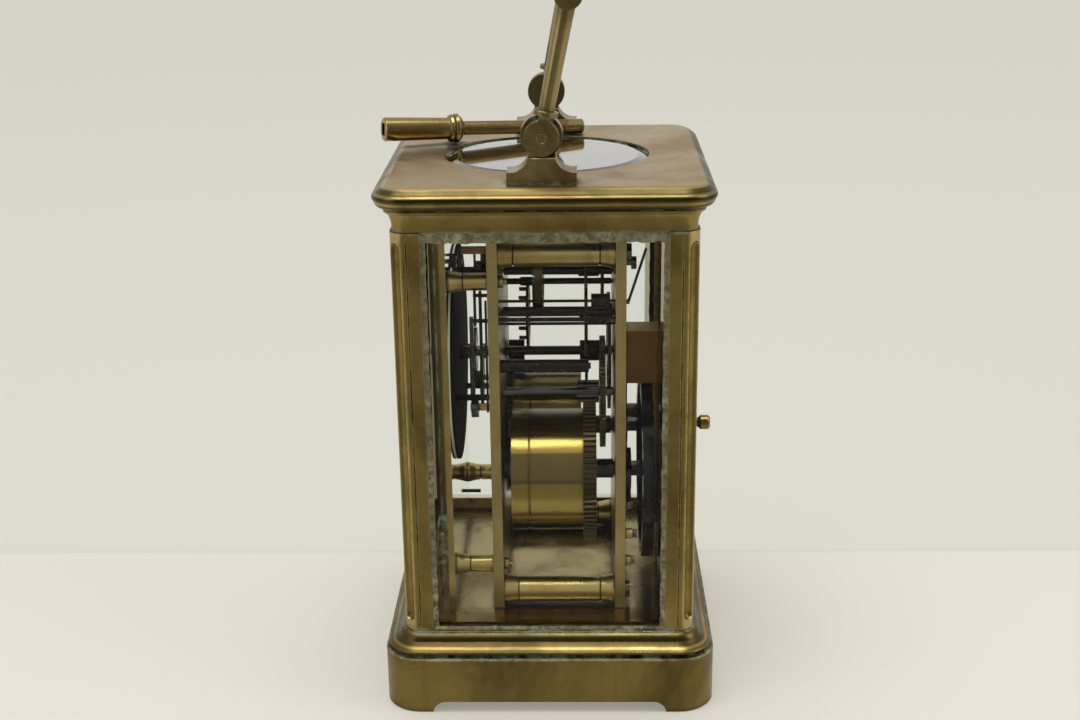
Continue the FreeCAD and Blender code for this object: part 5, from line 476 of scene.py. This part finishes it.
def make_glass(name, border_tint=GLASS_TINT, upright_tint=GLASS_TINT, bend=1.2, coat=0.0):
    """Clear glass, tinted in its bevelled border, that lets lamp light through to what is behind it."""
    material, tree, shader, place = new_material(name)
    shader.inputs["Transmission Weight"].default_value = 1.0
    shader.inputs["IOR"].default_value = bend
    shader.inputs["Coat Weight"].default_value = coat
    apart = put(tree, "ShaderNodeSeparateXYZ", Vector=place)
    height = apart.outputs["Z"]
    below = arithmetic(tree, "SUBTRACT", PANE_FOOT * MM, height)
    foot = ramp_between(tree, below, -0.1 * MM, 0.2 * MM)
    head = ramp_between(tree, height, PANE_HEAD * MM, (PANE_HEAD + 0.6) * MM)
    border = arithmetic(tree, "MAXIMUM", foot, head, True)
    sideways = arithmetic(tree, "ABSOLUTE", apart.outputs["Y"], 0.0)
    aside = ramp_between(tree, sideways, PANE_SIDE * MM, (PANE_SIDE + 0.4) * MM)
    colour = blend_colours(tree, border, GLASS_TINT, border_tint)
    tree.links.new(blend_colours(tree, aside, colour, upright_tint), shader.inputs["Base Color"])
    dust = noise(tree, place, 900.0, 4.0, 0.7)
    tree.links.new(scaled(tree, ramp_between(tree, dust, 0.72, 0.9), 0.04, 0.0), shader.inputs["Roughness"])
    clear = put(tree, "ShaderNodeBsdfTransparent", Color=GLASS_TINT)
    lamp_ray = tree.nodes.new("ShaderNodeLightPath").outputs["Is Shadow Ray"]
    mix = put(tree, "ShaderNodeMixShader", _0=lamp_ray)
    tree.links.new(shader.outputs[0], mix.inputs[1])
    tree.links.new(clear.outputs[0], mix.inputs[2])
    tree.links.new(mix.outputs[0], tree.nodes["Material Output"].inputs["Surface"])
    return material


clear_glass = make_glass("clear_glass")
top_glass = make_glass("top_glass", bend=1.6, coat=1.0)
side_glass = make_glass("side_glass", (0.62, 0.57, 0.44, 1), (0.46, 0.42, 0.34, 1))
DIAL_MIDDLE_Y = -24.0              # between the face and the back of the dial


def make_enamel():
    """White enamel front and black back of the dial; the black is partly dark counter-enamel and partly
    painted shade.
    """
    material, tree, shader, place = new_material("enamel")
    depth = put(tree, "ShaderNodeSeparateXYZ", Vector=place).outputs["Y"]
    back = arithmetic(tree, "GREATER_THAN", depth, DIAL_MIDDLE_Y * MM)
    cloud = noise(tree, place, 60.0, 3.0)
    white = blend_colours(tree, ramp_between(tree, cloud, 0.3, 0.7), (0.83, 0.81, 0.74, 1),
                          (0.78, 0.76, 0.68, 1))
    # the black back is partly painted shade
    tree.links.new(blend_colours(tree, back, white, (0.003, 0.003, 0.003, 1)), shader.inputs["Base Color"])
    tree.links.new(arithmetic(tree, "MAXIMUM", back, 0.12), shader.inputs["Roughness"])
    tree.links.new(scaled(tree, back, -0.5, 0.5), shader.inputs["Coat Weight"])
    shader.inputs["Specular IOR Level"].default_value = 0.15
    return material


enamel = make_enamel()


def make_mask_plate():
    """Brass surround of the dial, polished on its back."""
    material, tree, shader, place = new_material("mask_plate")
    normal = tree.nodes.new("ShaderNodeNewGeometry").outputs["Normal"]
    facing = put(tree, "ShaderNodeSeparateXYZ", Vector=normal).outputs["Y"]
    polished = ramp_between(tree, facing, 0.7, 0.9)
    cloud = noise(tree, place, 80.0, 5.0)
    brass = blend_colours(tree, ramp_between(tree, cloud, 0.35, 0.65), (0.40, 0.295, 0.105, 1),
                          (0.30, 0.215, 0.078, 1))
    tree.links.new(blend_colours(tree, polished, brass, (0.80, 0.77, 0.68, 1)), shader.inputs["Base Color"])
    rough = put(tree, "ShaderNodeMapRange", Value=polished, To_Min=0.26, To_Max=0.04).outputs["Result"]
    tree.links.new(rough, shader.inputs["Roughness"])
    shader.inputs["Metallic"].default_value = 1.0
    return material


mask_plate = make_mask_plate()
WHEEL_ROUGHNESS = (0.1, 0.22)
FINISHES = {
    case_brass: ["base_moulding", "pillar_front_right", "pillar_front_left", "pillar_rear_right",
                 "pillar_rear_left", "door_frame", "door_knob", "door_pins", "case_screws"],
    plinth_brass: ["plinth"],
    cornice_brass: ["cornice"],
    handle_brass: ["bracket_right", "bracket_left", "handle_pins", "handle_arm_right", "handle_arm_left",
                   "handle_grip"],
    key_brass: ["winding_key"],
    plate_brass: ["front_plate", "back_plate"],
    floor_brass: ["floor_plate"],
    block_brass: ["gong_block"],
    mask_plate: ["dial_mask"],
    pillar_brass: ["movement_pillars", "dial_pillars", "escape_wheel", "platform", "escapement_cocks",
                   "balance"],
    steel: ["plate_screws", "going_click", "strike_click", "cannon_pinion", "pallet_lever", "rack_lever",
            "hammer"],
    dark_steel: ["gong_coil", "minute_hand", "hour_hand", "balance_spring", "going_barrel_arbor",
                 "strike_barrel_arbor"],
    clear_glass: ["front_glass", "door_glass"],
    top_glass: ["top_glass"],
    side_glass: ["side_glass_right", "side_glass_left"],
    enamel: ["dial"],
}
for node_name, (split, core) in WHEELS.items():
    FINISHES[make_round(node_name, split, core, SHADED_WHEEL_BRASS, *WHEEL_ROUGHNESS)] = [node_name]
for node_name in ("going_barrel", "strike_barrel"):
    FINISHES[make_drum(node_name)] = [node_name]
for finish, names in FINISHES.items():
    for name in names:
        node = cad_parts[name]
        node.data.materials.clear()
        node.data.materials.append(finish)


# ---- Added pieces -----------------------------------------------------------------------------
def add_object(name, data):
    """A new object, linked to the scene."""
    made = bpy.data.objects.new(name, data)
    scene.collection.objects.link(made)
    return made


def add_piece(name, bm, finish):
    """Turns a bmesh, in millimetres, into an object that rides the case."""
    bmesh.ops.scale(bm, vec=(MM, MM, MM), verts=bm.verts)
    bmesh.ops.recalc_face_normals(bm, faces=bm.faces)
    mesh = bpy.data.meshes.new(name)
    bm.to_mesh(mesh)
    bm.free()
    mesh.materials.append(finish)
    made = add_object(name, mesh)
    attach(made, "case")
    return made


def add_box(bm, low, high):
    """A box between two corners."""
    middle = (Vector(low) + Vector(high)) / 2
    size = Vector(high) - Vector(low)
    bmesh.ops.create_cube(bm, size=1.0, matrix=Matrix.Translation(middle) @ Matrix.Diagonal((*size, 1.0)))


ROD_SIDES = 24


def add_rod(bm, radius, start, end):
    """A round rod between two points."""
    start, end = Vector(start), Vector(end)
    turn = (end - start).to_track_quat("Z", "Y").to_matrix().to_4x4()
    bmesh.ops.create_cone(bm, cap_ends=True, segments=ROD_SIDES, radius1=radius, radius2=radius,
                          depth=(end - start).length, matrix=Matrix.Translation((start + end) / 2) @ turn)


def rods_and_boxes(name, finish, rods=(), boxes=()):
    """One piece from rods (radius, start, end) and boxes (low corner, high corner)."""
    bm = bmesh.new()
    for radius, start, end in rods:
        add_rod(bm, radius, start, end)
    for low, high in boxes:
        add_box(bm, low, high)
    return add_piece(name, bm, finish)


arbor_steel = make_steel("arbor_steel", ARBOR_STEEL, (0.05, 0.045, 0.04, 1), 0.2)
FRONT_OUT, FRONT_IN, REAR_IN, REAR_OUT = -14.35, -11.85, 17.05, 19.55      # faces of the two plates
STRIKE_X, LEVER_X, POST_X, HAMMER_X = 25.0, 25.4, 24.0, 21.0
rods_and_boxes("strike_studs", arbor_steel, [
    (0.45, (STRIKE_X, FRONT_IN, 100.6), (STRIKE_X, REAR_IN, 100.6)),
    (0.55, (25.6, FRONT_IN, 99.3), (25.6, REAR_IN, 99.3)),
    (0.38, (STRIKE_X, FRONT_IN, 98.05), (STRIKE_X, REAR_IN, 98.05)),
    (0.36, (STRIKE_X, FRONT_IN, 103.85), (STRIKE_X, REAR_IN, 103.85)),
    (1.8, (STRIKE_X, 11.0, 103.85), (STRIKE_X, 15.6, 103.85)),
    (1.25, (25.3, 9.5, 99.4), (25.3, 15.9, 99.4)),
    (1.65, (22.0, FRONT_IN, 86.0), (22.0, 10.4, 86.0)),
    (0.8, (22.0, 10.3, 86.0), (22.0, 10.9, 86.0))])
rods_and_boxes("lever_studs", arbor_steel, [
    (0.5, (LEVER_X, -18.2, 99.0), (LEVER_X, FRONT_OUT, 99.0)),
    (0.5, (LEVER_X, -17.0, 79.0), (LEVER_X, FRONT_OUT, 79.0)),
    (0.45, (LEVER_X, -18.0, 105.5), (LEVER_X, FRONT_OUT, 105.5)),
    (0.6, (LEVER_X, -24.2, 114.2), (LEVER_X, -20.4, 114.2)),
    (0.35, (26.0, -24.2, 116.0), (26.0, -21.4, 116.0))],
    [((24.4, -17.9, 97.8), (26.4, -17.3, 106.7)), ((24.4, -16.6, 77.6), (26.6, -15.9, 106.4)),
     ((24.6, -15.2, 75.2), (26.4, -14.7, 104.0)), ((24.2, -17.6, 112.6), (26.0, -17.1, 116.4)),
     ((24.2, -17.6, 112.2), (26.0, -14.4, 114.0)), ((24.2, -15.9, 112.2), (26.0, -14.4, 116.4)),
     ((24.8, -23.2, 112.8), (26.4, -21.8, 115.6)), ((24.4, -19.2, 80.0), (26.2, -18.7, 92.0))])
rods_and_boxes("strike_bar", block_brass, boxes=[((23.4, -20.6, 116.3), (26.6, FRONT_OUT, 117.5))])
rods_and_boxes("post_ends", pillar_brass, [
    (1.55, (POST_X, FRONT_IN, 108.65), (POST_X, -10.6, 108.65)),
    (0.8, (POST_X, -10.6, 108.65), (POST_X, -9.7, 108.65)),
    (1.55, (POST_X, FRONT_IN, 32.45), (POST_X, -10.6, 32.45)),
    (0.8, (POST_X, -10.6, 32.45), (POST_X, -9.7, 32.45)),
    (1.4, (LEVER_X, REAR_OUT, 34.0), (LEVER_X, 21.0, 34.0)),
    (1.4, (LEVER_X, REAR_OUT, 41.5), (LEVER_X, 21.4, 41.5))])
rods_and_boxes("click_screws", steel, [
    (1.1, (LEVER_X, 20.9, 34.0), (LEVER_X, 22.0, 34.0)),
    (1.1, (LEVER_X, 21.3, 41.5), (LEVER_X, 22.6, 41.5)),
    (0.35, (HAMMER_X, 24.6, 116.0), (HAMMER_X, 20.3, 102.4)),
    (1.6, (HAMMER_X, 20.9, 112.4), (HAMMER_X, 22.2, 112.4)),
    (0.7, (HAMMER_X, REAR_OUT, 112.4), (HAMMER_X, 21.0, 112.4)),
    (0.6, (HAMMER_X, REAR_OUT, 102.4), (HAMMER_X, 20.6, 102.4))])
rods_and_boxes("pane_rail", floor_brass, boxes=[((-35.15, -29.2, 21.2), (-34.9, 29.2, 25.1))])
rods_and_boxes("screw_slots", dark_steel, boxes=[
    ((side * POST_X - 1.9, 20.85, height - 0.22), (side * POST_X + 1.9, 20.93, height + 0.22))
    for side in (1, -1) for height in (25.15, 115.85)])
rods_and_boxes("glass_clip", arbor_steel, boxes=[((-35.2, -26.4, 27.2), (-34.4, -21.4, 28.0))])


def make_crust_finish():
    """Pale green and grey crust with brown gaps."""
    material, tree, shader, place = new_material("crust")
    lumps = noise(tree, place, 420.0, 6.0, 0.75)
    drift = noise(tree, place, 90.0, 3.0, 0.6)
    colour = blend_colours(tree, ramp_between(tree, lumps, 0.36, 0.62), (0.085, 0.068, 0.026, 1),
                           (0.205, 0.193, 0.098, 1))
    pale = arithmetic(tree, "MULTIPLY", ramp_between(tree, drift, 0.45, 0.66),
                      ramp_between(tree, lumps, 0.45, 0.62))
    tree.links.new(blend_colours(tree, scaled(tree, pale, 0.8, 0.0), colour, (0.38, 0.39, 0.27, 1)),
                   shader.inputs["Base Color"])
    shader.inputs["Roughness"].default_value = 0.6
    bump = put(tree, "ShaderNodeBump", Height=lumps, Strength=0.8, Distance=0.2 * MM)
    tree.links.new(bump.outputs["Normal"], shader.inputs["Normal"])
    return material


OPENING, OPENING_FOOT, OPENING_HEAD = 29.42, 20.42, 124.42      # half width and ends between the pillars
CRUST_X, CRUST_SLOPE, CRUST_THICKNESS = 38.25, 0.42, 0.12
CRUST_STEPS = 90
# width in millimetres and phase of the ripple of each fillet
CRUST_EDGES = {"front": (1.3, 1.0), "rear": (1.3, 2.3), "head": (2.7, 3.1), "foot": (0.8, 4.2)}


def crust_place(edge, run, off):
    """(y, z) of a point along one edge of the opening, at a distance into the opening."""
    across = -OPENING + 2 * OPENING * run
    upward = OPENING_FOOT + (OPENING_HEAD - OPENING_FOOT) * run
    return {"front": (-OPENING + off, upward), "rear": (OPENING - off, upward),
            "head": (across, OPENING_HEAD - off), "foot": (across, OPENING_FOOT + off)}[edge]


def add_crust(name, side, edge, width, phase):
    """A sloping fillet of crust, of rippled width, along one edge of a pane."""
    bm = bmesh.new()
    bmesh.ops.create_grid(bm, x_segments=CRUST_STEPS, y_segments=2, size=0.5)
    for vert in bm.verts:
        run, across = vert.co.x + 0.5, vert.co.y + 0.5
        ripple = 1 + 0.05 * math.sin(run * 61 + phase) + 0.04 * math.sin(run * 143 + 2 * phase)
        y, z = crust_place(edge, run, across * width * ripple)
        vert.co = (side * (CRUST_X - CRUST_SLOPE * across), y, z)
    made = add_piece(name, bm, crust_finish)
    made.modifiers.new("thick", "SOLIDIFY").thickness = CRUST_THICKNESS * MM


crust_finish = make_crust_finish()
for side_name, side in (("right", 1), ("left", -1)):
    for edge, (width, phase) in CRUST_EDGES.items():
        add_crust(f"crust_{side_name}_{edge}", side, edge, width, phase)


# ---- Dial -------------------------------------------------------------------------------------
DIAL_FACE_Y = -24.2
DIAL_MIDDLE_Z = 82.8
PAINT = 0.03
NUMERALS = ("XII", "I", "II", "III", "IIII", "V", "VI", "VII", "VIII", "IX", "X", "XI")
LETTER_WIDTHS = {"I": 1.15, "V": 2.5, "X": 2.7}
LETTER_LEAN = 0.34                 # sideways reach of a slanting stroke, as a share of the letter's width
STEM, THICK_STROKE, THIN_STROKE, SERIF = 0.62, 0.66, 0.24, 0.22
NUMERAL_LOW, NUMERAL_HIGH = 17.4, 22.2
TRACK_LOW, TRACK_HIGH, TRACK_LINE = 23.2, 24.2, 0.12
HOUR_TICK, MINUTE_TICK = 0.5, 0.16


def add_stroke(bm, angle, start, end, width):
    """A painted stroke between two (across, outward) points of the dial, turned by the angle."""
    start, end = Vector((start[0], 0, start[1])), Vector((end[0], 0, end[1]))
    lean = math.atan2(end.x - start.x, end.z - start.z)
    middle = (start + end) / 2
    stroke = Matrix.Diagonal((width, PAINT, (end - start).length, 1.0))
    placed = Matrix.Translation((0, DIAL_FACE_Y - PAINT / 2, DIAL_MIDDLE_Z)) @ Matrix.Rotation(angle, 4, "Y")
    placed = placed @ Matrix.Translation(middle) @ Matrix.Rotation(lean, 4, "Y") @ stroke
    bmesh.ops.create_cube(bm, size=1.0, matrix=placed)


def make_paint():
    """Black paint, unevenly worn."""
    material, tree, shader, place = new_material("black_paint")
    worn = noise(tree, place, 300.0, 3.0)
    tree.links.new(blend_colours(tree, worn, (0.012, 0.012, 0.013, 1), (0.03, 0.028, 0.027, 1)),
                   shader.inputs["Base Color"])
    shader.inputs["Roughness"].default_value = 0.35
    return material


def add_numerals():
    """Twelve numerals with serifs and the minute track."""
    bm = bmesh.new()
    low, high = NUMERAL_LOW, NUMERAL_HIGH
    for hour, letters in enumerate(NUMERALS):
        angle = hour * math.pi / 6
        span = sum(LETTER_WIDTHS[letter] for letter in letters)
        left = -span / 2
        for serif in (low, high):
            add_stroke(bm, angle, (-span / 2, serif), (span / 2, serif), SERIF)
        for letter in letters:
            width = LETTER_WIDTHS[letter]
            centre = left + width / 2
            lean = width * LETTER_LEAN
            if letter == "I":
                add_stroke(bm, angle, (centre, low), (centre, high), STEM)
            elif letter == "V":
                add_stroke(bm, angle, (centre, low), (centre - lean, high), THICK_STROKE)
                add_stroke(bm, angle, (centre, low), (centre + lean, high), THIN_STROKE)
            else:
                add_stroke(bm, angle, (centre + lean, low), (centre - lean, high), THICK_STROKE)
                add_stroke(bm, angle, (centre - lean, low), (centre + lean, high), THIN_STROKE)
            left += width
    for minute in range(60):
        angle = minute * math.pi / 30
        add_stroke(bm, angle, (0, TRACK_LOW), (0, TRACK_HIGH), HOUR_TICK if minute % 5 == 0 else MINUTE_TICK)
        for ring in (TRACK_LOW, TRACK_HIGH):
            chord = ring * math.tan(math.pi / 60)
            add_stroke(bm, angle, (-chord, ring), (chord, ring), TRACK_LINE)
    add_piece("numerals", bm, make_paint())


add_numerals()


# ---- Stage, lamps and camera ------------------------------------------------------------------
BACKGROUND = (0.70, 0.685, 0.615, 1)
TABLE = (0.68, 0.655, 0.575, 1)
TABLE_SEAM = (0.3, 0.28, 0.23, 1)
ROOM = (0.05, 0.045, 0.04, 1)
FLOOR_SIZE = 3.0
SEAM_X = -0.0502                   # where the table meets the backdrop


def make_floor_finish():
    """Pale table that turns to an even backdrop behind the clock."""
    material, tree, shader, place = new_material("floor")
    shader.inputs["Roughness"].default_value = 0.6
    apart = put(tree, "ShaderNodeSeparateXYZ", Vector=place).outputs
    far = ramp_between(tree, scaled(tree, apart["X"], -1.0, 0.0), 0.0495, 0.0515)
    plain_colour = blend_colours(tree, far, TABLE, BACKGROUND)
    tree.links.new(plain_colour, shader.inputs["Base Color"])
    to_seam = arithmetic(tree, "ABSOLUTE", scaled(tree, apart["X"], 1.0, -SEAM_X), 0.0)
    seam = scaled(tree, ramp_between(tree, to_seam, 0.0022, 0.0), 0.16, 0.0)
    plain = put(tree, "ShaderNodeEmission", Color=blend_colours(tree, seam, plain_colour, TABLE_SEAM))
    ray = tree.nodes.new("ShaderNodeLightPath").outputs
    seen = arithmetic(tree, "ADD", ray["Is Camera Ray"], ray["Is Transmission Ray"], True)
    seen = arithmetic(tree, "ADD", seen, ray["Is Glossy Ray"], True)
    share = arithmetic(tree, "MULTIPLY", scaled(tree, far, 0.45, 0.40), seen)
    floor_mix = put(tree, "ShaderNodeMixShader", _0=share)
    tree.links.new(shader.outputs[0], floor_mix.inputs[1])
    tree.links.new(plain.outputs[0], floor_mix.inputs[2])
    # ahead of the clock, the metal reflects a darker room
    sideways = arithmetic(tree, "ABSOLUTE", apart["Y"], 0.0)
    wedge = arithmetic(tree, "SUBTRACT", scaled(tree, apart["X"], 0.8, 0.0), sideways)
    ahead = arithmetic(tree, "MULTIPLY", ramp_between(tree, apart["X"], 0.075, 0.11),
                       ramp_between(tree, wedge, 0.0, 0.03))
    dark = scaled(tree, arithmetic(tree, "MULTIPLY", ahead, ray["Is Glossy Ray"]), 0.5, 0.0)
    room_mix = put(tree, "ShaderNodeMixShader", _0=dark)
    tree.links.new(floor_mix.outputs[0], room_mix.inputs[1])
    tree.links.new(put(tree, "ShaderNodeEmission", Color=ROOM).outputs[0], room_mix.inputs[2])
    tree.links.new(room_mix.outputs[0], tree.nodes["Material Output"].inputs["Surface"])
    return material


def make_floor():
    """The floor as one large square."""
    bm = bmesh.new()
    bmesh.ops.create_grid(bm, x_segments=1, y_segments=1, size=FLOOR_SIZE)
    mesh = bpy.data.meshes.new("floor")
    bm.to_mesh(mesh)
    bm.free()
    mesh.materials.append(make_floor_finish())
    add_object("floor", mesh)


make_floor()
MIDDLE = (0, 0, 0.08)
WARM_LIGHT, COOL_LIGHT = (1.0, 0.985, 0.96), (0.98, 0.99, 1.0)


def add_lamp(name, place, size, power, colour):
    """A soft rectangular lamp aimed at the middle of the clock."""
    data = bpy.data.lights.new(name, "AREA")
    data.shape = "RECTANGLE"
    data.size, data.size_y = size
    data.energy = power
    data.color = colour
    lamp = add_object(name, data)
    lamp.location = place
    lamp.rotation_euler = (Vector(MIDDLE) - Vector(place)).to_track_quat("-Z", "Y").to_euler()


add_lamp("overhead", (0.10, -0.08, 0.95), (0.5, 0.6), 6.0, WARM_LIGHT)
add_lamp("front_left", (0.65, -0.85, 0.55), (0.6, 0.9), 2.4, WARM_LIGHT)
add_lamp("right", (0.30, 0.95, 0.6), (0.6, 0.9), 3.6, COOL_LIGHT)



def make_world():
    """Pale studio light, weaker towards +X, with an even backdrop for what the camera sees."""
    world = bpy.data.worlds.new("studio")
    world.use_nodes = True
    tree = world.node_tree
    ray = tree.nodes.new("ShaderNodeLightPath").outputs
    seen = arithmetic(tree, "MAXIMUM", ray["Is Camera Ray"], ray["Is Transmission Ray"])
    way = put(tree, "ShaderNodeTexCoord").outputs["Generated"]
    towards = put(tree, "ShaderNodeSeparateXYZ", Vector=way).outputs["X"]
    level = put(tree, "ShaderNodeMapRange", {"interpolation_type": "SMOOTHSTEP"}, Value=towards,
                From_Min=-0.2, From_Max=0.8, To_Min=0.85, To_Max=0.22).outputs["Result"]
    level = arithmetic(tree, "MAXIMUM", level, scaled(tree, seen, 0.8, 0.0))
    tree.links.new(level, tree.nodes["Background"].inputs["Strength"])
    tree.nodes["Background"].inputs["Color"].default_value = (0.9, 0.89, 0.86, 1)
    scene.world = world


make_world()

CAMERA_PLACE = (0.39839, 0.007823, 0.214356)
CAMERA_YAW, CAMERA_PITCH, CAMERA_ROLL = (math.radians(angle) for angle in (-1.47, 18.631, -0.78))
CAMERA_LENS = 52.745
CAMERA_SENSOR = 36.0
CAMERA_NEAR = 0.01


def add_camera():
    """The camera, from its place, yaw, pitch and roll."""
    forward = Vector((-math.cos(CAMERA_YAW) * math.cos(CAMERA_PITCH),
                      math.sin(CAMERA_YAW) * math.cos(CAMERA_PITCH), -math.sin(CAMERA_PITCH)))
    level_right = forward.cross(Vector((0, 0, 1))).normalized()
    level_up = level_right.cross(forward)
    right = level_right * math.cos(CAMERA_ROLL) + level_up * math.sin(CAMERA_ROLL)
    up = level_up * math.cos(CAMERA_ROLL) - level_right * math.sin(CAMERA_ROLL)
    data = bpy.data.cameras.new("camera")
    data.lens = CAMERA_LENS
    data.sensor_width = CAMERA_SENSOR
    data.clip_start = CAMERA_NEAR
    camera = add_object("camera", data)
    camera.matrix_world = Matrix((right, up, -forward)).transposed().to_4x4()
    camera.matrix_world.translation = CAMERA_PLACE
    scene.camera = camera


add_camera()
scene.view_settings.view_transform = "Standard"
